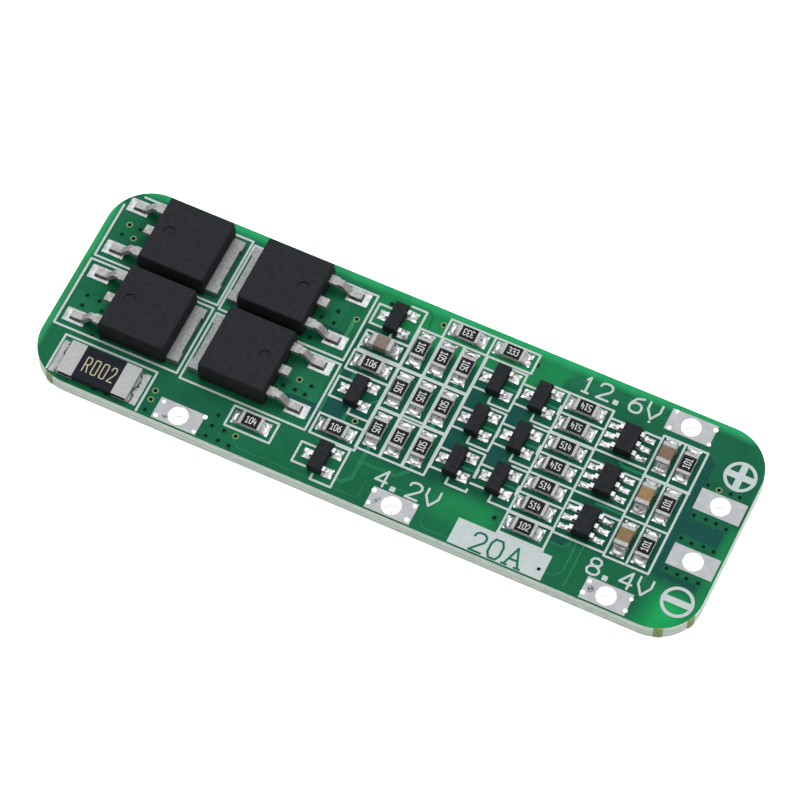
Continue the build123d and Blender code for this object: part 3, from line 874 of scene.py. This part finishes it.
RING_LOW = 1.59
RING_SIDES = 16
at_holes("via_barrels", ring_mesh("via_barrel", VIA_RADIUS, VIA_RADIUS - PLATING, 0.02, 1.598, VIA_SIDES),
         all_vias, via_barrel_copper_painted_shade, smooth=ROUND_ANGLE)
at_holes("covered_via_rings", ring_mesh("covered_via_ring", 0.27, VIA_RADIUS, RING_LOW, 1.625, RING_SIDES),
         covered_vias, mask_over_ring, "board_laminate")
at_holes("bare_via_rings", ring_mesh("bare_via_ring", 0.29, VIA_RADIUS, RING_LOW, 1.622, RING_SIDES),
         open_vias, via_ring_copper)
filling = plate_mesh("via_filling", [circle(0.0, 0.0, VIA_RADIUS - 0.015, VIA_SIDES)], 0.05, CORE_HIGH)
at_holes("via_fillings", filling, covered_vias, mask_in_via_painted_shade, "board_laminate")
under_ring = ring_mesh("underside_via_ring", 0.28, VIA_RADIUS, UNDERSIDE, CORE_LOW, RING_SIDES)
at_holes("underside_via_rings", under_ring, open_vias, via_ring_copper)
plating = ring_mesh("wire_hole_barrel", WIRE_HOLE_RADIUS + PLATING, WIRE_HOLE_RADIUS,
                    UNDERSIDE, SEAT, WIRE_HOLE_SIDES)
at_holes("wire_hole_barrels", plating, wire_holes, barrel_tin, smooth=ROUND_ANGLE)
under_ring = ring_mesh("underside_wire_ring", 1.12, WIRE_HOLE_RADIUS + 0.01,
                       UNDERSIDE, CORE_LOW, WIRE_HOLE_SIDES)
at_holes("underside_wire_rings", under_ring, wire_holes, tinned_land)


# Lines on the board
def box_line(x0, x1, y0, y1):
    """Line round a rectangle."""
    return rectangle(x0, x1, y0, y1) + [(x0, y0)]


def row_of(x0, x1, levels):
    """Lines along the board, one at each level of y."""
    return [[(x0, y), (x1, y)] for y in levels]


def column_of(places, y0, y1):
    """Lines across the board, one at each place of x."""
    return [[(x, y0), (x, y1)] for x in places]


# Traces under the mask, by their width, and the gaps between copper areas
TRACE_LEVEL = MASK_TOP - 0.006
TRACE_HEIGHT = 0.03
GAP_WIDTH = 0.16
GAP_HEIGHT = 0.02
traces = {
    0.36: [
        [(-6.82, 5.7), (-6.82, 3.8)], [(-4.6, 0.45), (-4.6, 1.15)], [(-3.55, -2.7), (-3.55, -3.35)],
        [(-0.52, -4.7), (-0.52, -7.9), (-1.12, -8.55), (-1.55, -8.55)],
        [(-0.3, -6.2), (2.6, -6.2), (3.55, -5.25)],
        [(3.5, -4.7), (3.5, -5.1)], [(1.55, 3.75), (1.55, 3.45)], [(3.5, 3.75), (3.5, 3.45)],
        [(1.55, -0.4), (1.55, -0.75)], [(3.4, -0.4), (3.4, -0.75)],
    ],
    0.26: row_of(7.3, 8.3, (5.3, 1.15, -3.05)) + row_of(11.2, 12.2, (5.3, 1.15, -3.05)) + [
        [(-5.72, 0.95), (-5.72, -3.3)], [(18.7, -1.42), (21.0, -1.42)],
        [(18.85, 2.95), (19.25, 2.68), (21.0, 2.68)],
    ],
    0.18: [
        [(-2.4, -1.15), (-1.72, -0.42)], [(16.6, -6.25), (17.8, -6.25), (18.2, -5.85), (18.2, -5.5)],
        [(18.72, -5.5), (18.72, -8.3), (18.2, -8.95), (17.55, -9.0)], [(19.35, -5.5), (19.35, -9.5)],
        [(25.12, -5.7), (25.12, -6.9)],
    ],
    0.12: [
        [(0.66, -9.5), (0.66, -7.8), (1.15, -7.25), (6.0, -7.2)],
        [(6.33, -7.75), (6.33, -9.2), (6.65, -9.55), (8.9, -9.58)],
        [(11.5, 7.3), (11.5, 8.1), (12.28, 8.72), (20.4, 8.72)], [(-10.3, -9.42), (0.5, -9.42)],
        [(-10.9, -9.0), (-10.3, -9.35)],
    ],
}
for width, lines in traces.items():
    inked(f"traces_{width:.2f}", lines, TRACE_LEVEL, width, TRACE_HEIGHT, mask_over_trace)
inked("gaps_in_copper", [
    [(-10.3, 9.38), (-1.6, 9.38), (-1.0, 8.95), (-0.86, 7.62)], [(-10.3, 8.95), (-6.2, 8.95)],
], TRACE_LEVEL, GAP_WIDTH, GAP_HEIGHT, mask_in_gap)

# White ink: each package has a thin outline, and thick lines stand between packages side by side
SILK_HEIGHT = 0.045
THICK_HEIGHT = SILK_HEIGHT * 1.06
THIN_PEN = 0.2
THICK_PEN = 0.3
outlines_thin = [
    [(-29.5, 7.6), (-29.5, 2.1), (-17.9, 2.1), (-17.9, 9.0), (-28.2, 9.0)],
    box_line(-29.58, -18.03, -5.22, 1.68),
    box_line(-17.62, -6.0, 1.84, 8.72),
    box_line(-17.62, -6.0, -5.5, 1.4),
    [(-28.09, -9.4), (-28.09, -5.86), (-19.5, -5.86), (-19.5, -9.85)],
    box_line(-5.44, -1.45, 3.44, 5.38),
    box_line(-5.56, -1.45, 1.27, 3.25),
    box_line(-5.58, -1.45, -5.5, -3.45),
    box_line(-12.26, -8.13, -7.91, -5.91),
]
# Outlines of the small transistors: a narrow part round the single lead, a wide one round the pair
NARROW_END = -4.3
WIDE_END = -3.0
for (left, right), (bottom, top), (low, high), notch in (
    ((-5.59, -1.59), (6.11, 8.12), (5.4, 9.03), -3.45),
    ((-5.64, -1.55), (-1.65, 0.37), (-2.55, 1.25), -3.5),
    ((-5.74, -1.75), (-8.55, -6.55), (-9.45, -5.65), -3.62),
):
    outlines_thin.append([(NARROW_END, top), (left, top), (left, bottom), (NARROW_END, bottom)])
    outlines_thin.append([(notch, low + 0.5), (notch, low), (right, low), (right, high), (WIDE_END, high)])
switch_rows = (
    ((4.25, 6.27), (3.34, 7.13)),
    ((0.1, 2.12), (-0.82, 2.98)),
    ((-4.13, -2.12), (-5.05, -1.21)),
)
for narrow, (near, far) in switch_rows:
    for left, right, notch in ((4.71, 8.52, 6.65), (8.52, 12.4, 10.55)):
        outlines_thin += row_of(left, notch - 0.65, narrow)
        outlines_thin.append([(notch, near + 0.6), (notch, near), (right, near)])
        outlines_thin.append([(notch + 0.4, far), (right, far)])
    # Between the pair's pads each outline has a line of its own, beside its neighbour's
    between = (near + far) / 2
    outlines_thin += column_of((8.6, 12.3), between - 0.4, between + 0.4)
outlines_thin += column_of((8.52,), 3.34, 7.13) + column_of((8.52,), -0.82, 2.98)
outlines_thin += column_of((8.52,), -3.5, -1.21) + column_of((8.52,), -5.05, -4.8)
outlines_thin += column_of((4.71,), -5.13, -4.2)
outlines_thin += row_of(-1.5, 4.71, (-5.13,)) + row_of(0.9, 2.5, (-0.78, -1.08))
outlines_thin += row_of(-1.44, 8.73, (7.4,))
outlines_thin += column_of((0.54, 4.66, 8.73), 7.4, 9.34)
outlines_thin += row_of(0.54, 8.73, (9.34,))
outlines_thin += column_of((12.43, 16.44), -7.25, 7.14)
outlines_thin += row_of(12.43, 16.44, (7.14, 5.16, 1.04, -1.05, -3.07))
for low, high in ((3.2, 6.42), (-1.07, 2.14), (-5.31, -2.05)):
    outlines_thin += row_of(16.44, 21.14, (low,))
    outlines_thin += [[(16.44, high), (17.7, high)], [(19.6, high), (21.14, high)]]
outlines_thin += column_of((21.14, 23.13, 25.13), -5.54, 6.8)
outlines_thin += row_of(21.14, 25.13, (6.8, -1.49, -5.54))
outlines_thick = row_of(-1.5, 4.71, (3.27,)) + row_of(-1.5, 0.66, (-0.93,)) + row_of(2.71, 4.71, (-0.93,))
outlines_thick += column_of((-1.5, 0.66, 2.71), -5.1, 7.35) + column_of((4.74,), -4.2, 7.35)
outlines_thick += row_of(12.43, 16.44, (3.1, -5.12, -7.25))
outlines_thick += row_of(21.14, 25.13, (2.67,))
inked("package_outlines", outlines_thin, MASK_TOP, THIN_PEN, SILK_HEIGHT, white_ink)
inked("shared_outlines", outlines_thick, MASK_TOP, THICK_PEN, THICK_HEIGHT, white_ink)

# Characters drawn as pen strokes in a box one wide and one tall
CHARACTERS = {
    "0": [[(0.22, 1), (0.78, 1), (1, 0.74), (1, 0.26), (0.78, 0), (0.22, 0), (0, 0.26), (0, 0.74),
           (0.22, 1)]],
    "1": [[(0.05, 0.8), (0.5, 1), (0.5, 0)], [(0.0, 0), (1.0, 0)]],
    "2": [[(0, 0.76), (0.08, 0.92), (0.3, 1), (0.7, 1), (0.93, 0.9), (1, 0.74), (0.9, 0.56), (0, 0), (1, 0)]],
    "3": [[(0.02, 0.88), (0.25, 1), (0.75, 1), (0.97, 0.86), (0.97, 0.66), (0.75, 0.54), (0.4, 0.54)],
          [(0.75, 0.54), (1, 0.38), (1, 0.16), (0.78, 0), (0.22, 0), (0, 0.12)]],
    "4": [[(0.08, 1), (0, 0.36), (1, 0.36)], [(0.76, 0.74), (0.76, 0)]],
    "5": [[(0.95, 1), (0.06, 1), (0.02, 0.56), (0.7, 0.58), (0.97, 0.42), (0.97, 0.16), (0.72, 0), (0.2, 0),
           (0, 0.1)]],
    "6": [[(0.9, 0.98), (0.35, 0.86), (0.08, 0.56), (0, 0.3), (0.1, 0.08), (0.35, 0), (0.68, 0), (0.92, 0.1),
           (1, 0.3), (0.92, 0.5), (0.68, 0.6), (0.35, 0.6), (0.08, 0.46)]],
    "8": [[(0.5, 0.54), (0.18, 0.6), (0.08, 0.77), (0.2, 0.94), (0.5, 1), (0.8, 0.94), (0.92, 0.77),
           (0.82, 0.6), (0.5, 0.54), (0.12, 0.44), (0, 0.25), (0.14, 0.06), (0.5, 0), (0.86, 0.06),
           (1, 0.25), (0.88, 0.44), (0.5, 0.54)]],
    "A": [[(0.12, 0), (0.5, 1), (0.88, 0)], [(0.26, 0.36), (0.74, 0.36)], [(0, 0), (0.28, 0)],
          [(0.72, 0), (1, 0)]],
    "R": [[(0, 0), (0, 1), (0.8, 1), (1, 0.86), (1, 0.62), (0.8, 0.5), (0, 0.5)], [(0.55, 0.5), (1, 0)]],
    "V": [[(0, 1), (0, 0.56), (0.5, 0), (1, 0.56), (1, 1)]],
    "square 0": [[(0, 0.08), (0, 0.92), (0.14, 1), (0.86, 1), (1, 0.92), (1, 0.08), (0.86, 0), (0.14, 0),
                  (0, 0.08)]],
    "open 4": [[(0.78, 1), (0, 0.3), (1, 0.3)], [(0.78, 1), (0.78, 0)]],
}


def drawn(character, x0, x1, y0, y1):
    """A character's strokes in a box of the board."""
    return [[(x0 + (x1 - x0) * u, y0 + (y1 - y0) * v) for u, v in line] for line in CHARACTERS[character]]


PEN = 0.2
HALF_PEN = PEN / 2


def written(character, x0, x1, y0, y1):
    """A character whose ink, pen width and all, fills a box of the board."""
    return drawn(character, x0 + HALF_PEN, x1 - HALF_PEN, y0 + HALF_PEN, y1 - HALF_PEN)


lettering = []
for character, x0, x1, y0, y1 in (
    ("1", 13.11, 13.86, 7.63, 9.35), ("2", 14.41, 15.66, 7.63, 9.35), ("6", 17.26, 18.53, 7.63, 9.35),
    ("V", 18.8, 20.1, 7.63, 9.35),
    ("8", 20.26, 21.56, -7.65, -5.9), ("open 4", 23.16, 24.41, -7.65, -5.9), ("V", 24.66, 26.0, -7.65, -5.9),
    ("open 4", 1.16, 2.38, -7.65, -5.95), ("2", 4.04, 5.31, -7.65, -5.95), ("V", 5.61, 6.91, -7.65, -5.95),
):
    lettering += written(character, x0, x1, y0, y1)
inked("voltage_lettering", lettering, MASK_TOP, PEN, SILK_HEIGHT, white_ink)
POINT_HALF = 0.24
for i, (x, y) in enumerate(((16.21, 7.92), (22.09, -7.4), (2.96, -7.41))):
    point = rounded(rectangle(x - POINT_HALF, x + POINT_HALF, y - POINT_HALF, y + POINT_HALF), 0.1)
    plate(f"decimal_point_{i + 1}", [point], MASK_TOP, MASK_TOP + SILK_HEIGHT, white_ink)
inked("ink_spot", [[(19.46, 7.45), (19.47, 7.45)]], MASK_TOP, 0.24, SILK_HEIGHT, white_ink)

# The signs of the pack's terminals: a ring crossed by one bar or two, the second a little higher
SIGN_RADIUS = 1.275
SIGN_PEN = 0.29
SIGN_SIDES = 40
BAR_HALF = 0.3
for name, x, y, bars in (
    ("pack_positive_sign", 28.38, 5.93, ((1, 0), (0, 1))),
    ("pack_negative_sign", 28.31, -6.86, ((1, 0),)),
):
    rim = circle(x, y, SIGN_RADIUS, SIGN_SIDES)
    inked(name + "_ring", [rim + rim[:1]], MASK_TOP, SIGN_PEN, SILK_HEIGHT, white_ink)
    for i, (along, across) in enumerate(bars):
        lows = (x - SIGN_RADIUS * along - BAR_HALF * across, y - SIGN_RADIUS * across - BAR_HALF * along)
        highs = (x + SIGN_RADIUS * along + BAR_HALF * across, y + SIGN_RADIUS * across + BAR_HALF * along)
        plate(f"{name}_bar_{i + 1}", [rectangle(lows[0], highs[0], lows[1], highs[1])],
              MASK_TOP, MASK_TOP + SILK_HEIGHT * (1.12 + 0.06 * i), white_ink)

# The current rating, left green in a white block: its strokes start above the mask and pass the block's top
BLOCK_HEIGHT = 0.03
RATING_LIFT = 0.008
RATING_LOW = -9.8
RATING_HIGH = -7.85
plate("rating_block", [rectangle(9.01, 17.43, -9.85, -7.4), circle(16.89, -8.93, 0.17, VIA_SIDES)],
      MASK_TOP, MASK_TOP + BLOCK_HEIGHT, white_ink)
rating = []
for character, x0, x1 in (("2", 10.81, 12.06), ("0", 12.33, 13.61), ("A", 13.76, 15.56)):
    rating += written(character, x0, x1, RATING_LOW, RATING_HIGH)
inked("rating_lettering", rating, MASK_TOP + RATING_LIFT, PEN, BLOCK_HEIGHT, knocked_out)

# Chips
CHIP_HALF = 1.0
CHIP_SIDE = 0.625
CHIP_HEIGHT = 0.45
CHIP_CAP = 0.3
GLAZE_DROP = 0.003
CAPACITOR_HEIGHT = 0.85
CAPACITOR_CAP = 0.42


def chip_block(name, end_gap, side_gap, low, high, edge):
    """Block along a chip, drawn in from its ends and sides."""
    reach = (CHIP_HALF - end_gap, CHIP_SIDE - side_gap)
    return block_mesh(name, (-reach[0], -reach[1], low), (*reach, high), edge)


def wrapped_ends(cap, height, edge):
    """Two metal ends of a chip."""
    end = block_mesh("ends", (CHIP_HALF - cap, -CHIP_SIDE, 0.0), (CHIP_HALF, CHIP_SIDE, height), edge)
    return both_ends("ends", end)


repeated("resistor_substrates", chip_block("slab", 0.04, 0.02, 0.02, 0.4, 0.02), resistor_places,
         resistor_alumina, "resistor_glaze", resistors)
glazed = chip_block("glaze", CHIP_CAP - 0.03, 0.045, 0.36, CHIP_HEIGHT - GLAZE_DROP, 0.03)
repeated("resistor_glazes", glazed, resistor_places, resistor_glaze, "resistor_glaze")
repeated("resistor_ends", wrapped_ends(CHIP_CAP, CHIP_HEIGHT, 0.05), resistor_places, cap_tin,
         "tinned_copper", ["resistor_end_caps"])
for node, place, ceramic in zip(capacitors, capacitor_places, capacitor_ceramics):
    fired = chip_block(node, 0.05, 0.03, 0.03, CAPACITOR_HEIGHT - 0.03, 0.05)
    repeated(f"{node}_ceramic", fired, [place], ceramic, "capacitor_ceramic", [node])
repeated("capacitor_ends", wrapped_ends(CAPACITOR_CAP, CAPACITOR_HEIGHT, 0.09), capacitor_places, cap_tin,
         "tinned_copper", ["capacitor_end_caps"])


# Solder
def mound_mesh(name, x0, x1, half, height, columns=11, rows=11):
    """Closed drop of solder on the seat, its height given over u from 0 to 1 and v from -1 to 1.

    The attribute "loose" says how far the ripple moves each vertex: not at all along the rim.
    """
    work = bmesh.new()
    weight = work.verts.layers.float.new("loose")
    grid = []
    for i in range(columns):
        u = i / (columns - 1)
        grid.append([])
        for j in range(rows):
            v = 2 * j / (rows - 1) - 1
            eased = ((1 - u ** 8) * (1 - v ** 6)) ** 0.5
            vert = work.verts.new((x0 + (x1 - x0) * u, half * v, height(u, v) * eased))
            vert[weight] = min(1.0, 3 * u, 5 * (1 - u), 3 * (1 - abs(v)))
            grid[-1].append(vert)
    for i in range(columns - 1):
        for j in range(rows - 1):
            work.faces.new((grid[i][j], grid[i + 1][j], grid[i + 1][j + 1], grid[i][j + 1]))
    rim = [grid[i][0] for i in range(columns)] + grid[-1][1:]
    rim += [grid[i][-1] for i in range(columns - 2, -1, -1)] + grid[0][-2:0:-1]
    base = [work.verts.new((vert.co.x, vert.co.y, -0.03)) for vert in rim]
    for i in range(len(rim)):
        j = (i + 1) % len(rim)
        work.faces.new((rim[i], base[i], base[j], rim[j]))
    work.faces.new(base)
    return mesh_of(name, work)


# Start, end and half width of the solder at one end, from the middle of its package
CHIP_SOLDER = (CHIP_HALF - 0.03, CHIP_HALF + 0.7, CHIP_SIDE + 0.015)
SHUNT_SOLDER = (3.23, 4.07, 1.59)
SMALL_PIN_SOLDER = (0.66, 1.58, 0.46)
MONITOR_PIN_SOLDER = (1.18, 2.04, 0.27)
POWER_PAD = (4.75, 6.72, 0.68)


def fillet_of(rise, thin=0.035, power=2.4, lip=0.0):
    """Height of solder that climbs an end face, with a lip curved round its hollow."""
    def height(u, v):
        from_lip = (((u - 0.25) / 0.5) ** 2 + (v / 0.75) ** 2) ** 0.5 - 1
        return thin + rise * (1 - u) ** power + lip * math.exp(-((from_lip / 0.22) ** 2))
    return height


def solder_at(name, shape, places, material=solder, stands_for=(), **ripple):
    """Solder of one shape at several places."""
    repeated(name, shape, places, material, "solder", stands_for, smooth=ROUND_ANGLE, **ripple)


def chip_fillets(name, rise, lip):
    """Solder at both ends of a chip."""
    end = mound_mesh(name, *CHIP_SOLDER, fillet_of(rise, lip=lip), 15, 13)
    return both_ends(name, end)


solder_at("resistor_solder", chip_fillets("chip_solder", 0.33, 0.06), resistor_places,
          stands_for=["solder_fillets"], ripple=0.07, seed=5)
solder_at("capacitor_solder", chip_fillets("tall_solder", 0.5, 0.12), capacitor_places, ripple=0.1, seed=8)
shunt_place = (shunt_middle.x, shunt_middle.y, SEAT, 0.0)
shunt_end = mound_mesh("shunt_solder", *SHUNT_SOLDER, fillet_of(0.2, 0.04, 3.0), 11, 25)
solder_at("shunt_solder", both_ends("shunt_solder", shunt_end), [shunt_place], shunt_joint_solder,
          ripple=0.1, seed=4)


def pin_height(tall):
    """Height of solder heaped over a pin's foot."""
    return lambda u, v: 0.03 + tall * math.exp(-((v / 0.5) ** 2)) * (1 - u) ** 0.6


# The small packages' pins stand one pitch apart, and a small transistor's single lead is between its pair
PIN_PITCH = 0.95
pin_places = []
for node in small_transistors:
    centre = middle_of(node)
    for across, turn in ((0.0, 180.0), (-PIN_PITCH, 0.0), (PIN_PITCH, 0.0)):
        pin_places.append((centre.x, centre.y + across, SEAT, turn))
pin_mound = mound_mesh("small_pin_solder", *SMALL_PIN_SOLDER, pin_height(0.2))
solder_at("small_pin_solder", pin_mound, pin_places, ripple=0.16, seed=9)
pin_places = []
for node in cell_monitors:
    centre = middle_of(node)
    for i in (-1, 0, 1):
        pin_places += [(centre.x, centre.y + i * PIN_PITCH, SEAT, turn) for turn in (0.0, 180.0)]
pin_mound = mound_mesh("monitor_pin_solder", *MONITOR_PIN_SOLDER, pin_height(0.12))
solder_at("monitor_pin_solder", pin_mound, pin_places, ripple=0.14, seed=2)

# The power packages' feet, from the middle of the moulding
FOOT_TIP = 6.05
FOOT_SIDE = 0.31
FOOT_HEEL = 5.0
FOOT_SPREAD = 2.3
foot_places = []
for i in range(1, 5):
    centre = middle_of(f"power_transistor_{i}")
    turn = 180.0 if i < 3 else 0.0
    foot_places += [(centre.x, centre.y + side * FOOT_SPREAD, SEAT, turn) for side in (-1, 1)]


def pad_skin(u, v):
    """Height of the tin on a power lead's pad."""
    return 0.03 + 0.02 * (1 - v * v)


def foot_bead_mesh(reach, height):
    """Bead of solder against the sides and the tip of a power lead's foot."""
    def bead(u, v):
        x = FOOT_HEEL + (FOOT_TIP + reach - FOOT_HEEL) * u
        away = max(abs(v) * (FOOT_SIDE + reach) - FOOT_SIDE, x - FOOT_TIP, 0.0)
        return 0.04 + height * (1 - away / reach) ** 1.5
    return mound_mesh("foot_bead", FOOT_HEEL, FOOT_TIP + reach, FOOT_SIDE + reach, bead, 17, 21)


solder_at("power_foot_solder", mound_mesh("pad_skin", *POWER_PAD, pad_skin, 13, 11), foot_places, foot_tin,
          ripple=0.03, seed=6)
# The beads are a real fillet, and their dark tin is painted shade round each foot
solder_at("power_foot_beads", foot_bead_mesh(0.17, 0.22), foot_places, bead_solder_painted_shade, ripple=0.04, seed=7)

# Spots of solder at the lands' corners, in three sizes, drawn near white: painted light
corner_spots = [
    (21.21, 9.35), (21.21, 7.67), (24.81, 9.1), (24.83, 7.6),
    (21.09, -8.18), (20.98, -9.32), (24.84, -8.22), (24.81, -9.38),
    (1.64, -8.12), (1.68, -9.35), (5.31, -8.05), (5.24, -9.48),
    (-17.76, -8.12), (-17.8, -9.55), (-13.99, -7.97), (-14.24, -9.6),
]
spot = loft_mesh("spot", [[(x, y, level) for x, y in circle(0.0, 0.0, radius, 14)]
                          for radius, level in ((0.2, -0.02), (0.2, 0.004), (0.15, 0.012))])
spot_places = [(x, y, SEAT, 0.0, 0.9 + 0.2 * (i % 3) / 2) for i, (x, y) in enumerate(corner_spots)]
repeated("land_corner_spots", spot, spot_places, painted_light_spot, "solder")

# Codes on the chips
CODE_HEIGHT = 0.6
CODE_WIDTH = 0.23
CODE_PITCH = 0.335
CODE_PEN = 0.065
codes = {1: ("106", 0), 2: ("106", 0), 21: ("333", 180), 22: ("333", 0), 23: ("102", 0), 24: ("104", 0)}
codes.update({number: ("105", 90 if number in (8, 11) else -90) for number in range(3, 12)})
codes.update({number: ("514", turn) for number, turn in zip(range(12, 18), (180, 180, 0, 180, 0, 0))})
codes.update({number: ("101", 90) for number in range(18, 21)})
code_lines = []
for number, (text, turn) in codes.items():
    x, y = resistor_places[number - 1][:2]
    cosine, sine = math.cos(math.radians(turn)), math.sin(math.radians(turn))
    for i, character in enumerate(text):
        left = (i - 1) * CODE_PITCH - CODE_WIDTH / 2
        for line in drawn(character, left, left + CODE_WIDTH, -CODE_HEIGHT / 2, CODE_HEIGHT / 2):
            code_lines.append([(x + u * cosine - v * sine, y + u * sine + v * cosine) for u, v in line])
INK_SINK = 0.003
INK_HEIGHT = 0.012
inked("resistor_codes", code_lines, SEAT + CHIP_HEIGHT - INK_SINK, CODE_PEN, INK_HEIGHT, code_ink)

SHUNT_HEIGHT = 0.6
SHUNT_CODE_START = shunt_middle.x - 1.31
SHUNT_CODE_PITCH = 0.78
SHUNT_CODE_WIDTH = 0.44
SHUNT_CODE_PEN = 0.1
shunt_code = []
for i, character in enumerate(("R", "square 0", "square 0", "2")):
    left = SHUNT_CODE_START + i * SHUNT_CODE_PITCH
    shunt_code += drawn(character, left, left + SHUNT_CODE_WIDTH, -8.71, -7.3)
inked("shunt_code", shunt_code, SEAT + SHUNT_HEIGHT - INK_SINK, SHUNT_CODE_PEN, INK_HEIGHT, shunt_ink)

# Floor, in metres
FLOOR_LEVEL = -0.02 * MM
floor_mesh = bpy.data.meshes.new("floor")
floor_mesh.from_pydata([(x, y, FLOOR_LEVEL) for x, y in rectangle(-3, 3, -3, 3)], [], [(0, 1, 2, 3)])
ground = Finish("pale_floor", roughness=0.9, specular=0.1).colour((250, 250, 250))
lit = ground.node("ShaderNodeLightPath").outputs
seen = ground.maths("ADD", lit["Is Camera Ray"], lit["Is Glossy Ray"])
seen = ground.maths("ADD", seen, lit["Is Transmission Ray"], use_clamp=True)
ground.give("Emission Color", (1.0, 1.0, 1.0, 1.0))
ground.give("Emission Strength", ground.maths("MULTIPLY", seen, 0.8))
# From below the floor is clear, and it lets light through to what lies on it, so that the underside shows
close_by = ground.maths("LESS_THAN", lit["Ray Length"], 0.1 * MM)
from_below = ground.node("ShaderNodeNewGeometry").outputs["Backfacing"]
glass = ground.node("ShaderNodeMixShader", {
    0: ground.maths("MAXIMUM", close_by, from_below),
    1: ground.shader.outputs[0],
    2: ground.node("ShaderNodeBsdfTransparent").outputs[0],
})
ground.feed(ground.nodes["Material Output"].inputs["Surface"], glass.outputs[0])
floor_mesh.materials.append(ground.material)
floor = in_scene("floor", floor_mesh)

# World and lamp
world = bpy.data.worlds.new("studio")
world.use_nodes = True
bpy.context.scene.world = world
sky = Graph(world.node_tree)
sky.feed(sky.nodes["Background"].inputs["Color"], (1.0, 1.0, 1.0, 1.0))
# The room is bright behind, above and to the right, and dim in front
facing = sky.node("ShaderNodeVectorMath", {
    0: sky.node("ShaderNodeTexCoord").outputs["Generated"],
    1: Vector((0.1, 0.5, 0.85)).normalized(),
}, operation="DOT_PRODUCT").outputs["Value"]
sky.feed(sky.nodes["Background"].inputs["Strength"], sky.ramp(facing, 0.0, 0.9, 0.3, 0.86))

# A square lamp that faces the board
LAMP_PLACE = Vector((-0.08, 0.22, 0.55))
LAMP_SIZE = 0.42
LAMP_POWER = 1.6
lamp = bpy.data.lights.new("key_softbox", "AREA")
lamp.shape = "RECTANGLE"
lamp.size, lamp.size_y = LAMP_SIZE, LAMP_SIZE
lamp.energy = LAMP_POWER
softbox = in_scene("key_softbox", lamp)
softbox.location = LAMP_PLACE
softbox.rotation_euler = (-LAMP_PLACE).to_track_quat("-Z", "Y").to_euler()

# Finishes of the carried-over nodes, by how their names begin: the first that fits holds
NODE_FINISHES = (
    ("power_transistor", power_epoxy),
    ("power_leads", lead_frame_tin),
    ("transistor_leads", pin_tin),
    ("cell_monitor_leads", pin_tin),
    ("transistor", small_epoxy),
    ("cell_monitor", small_epoxy),
    ("terminal_lands", scorched_land),
    ("shunt_terminals", shunt_tin),
    ("shunt_element", shunt_coating),
    ("", pad_tin),
)
for name, node in frame["nodes"].items():
    if not node.hide_render:
        node.data.materials.clear()
        node.data.materials.append(next(finish for start, finish in NODE_FINISHES if name.startswith(start)))
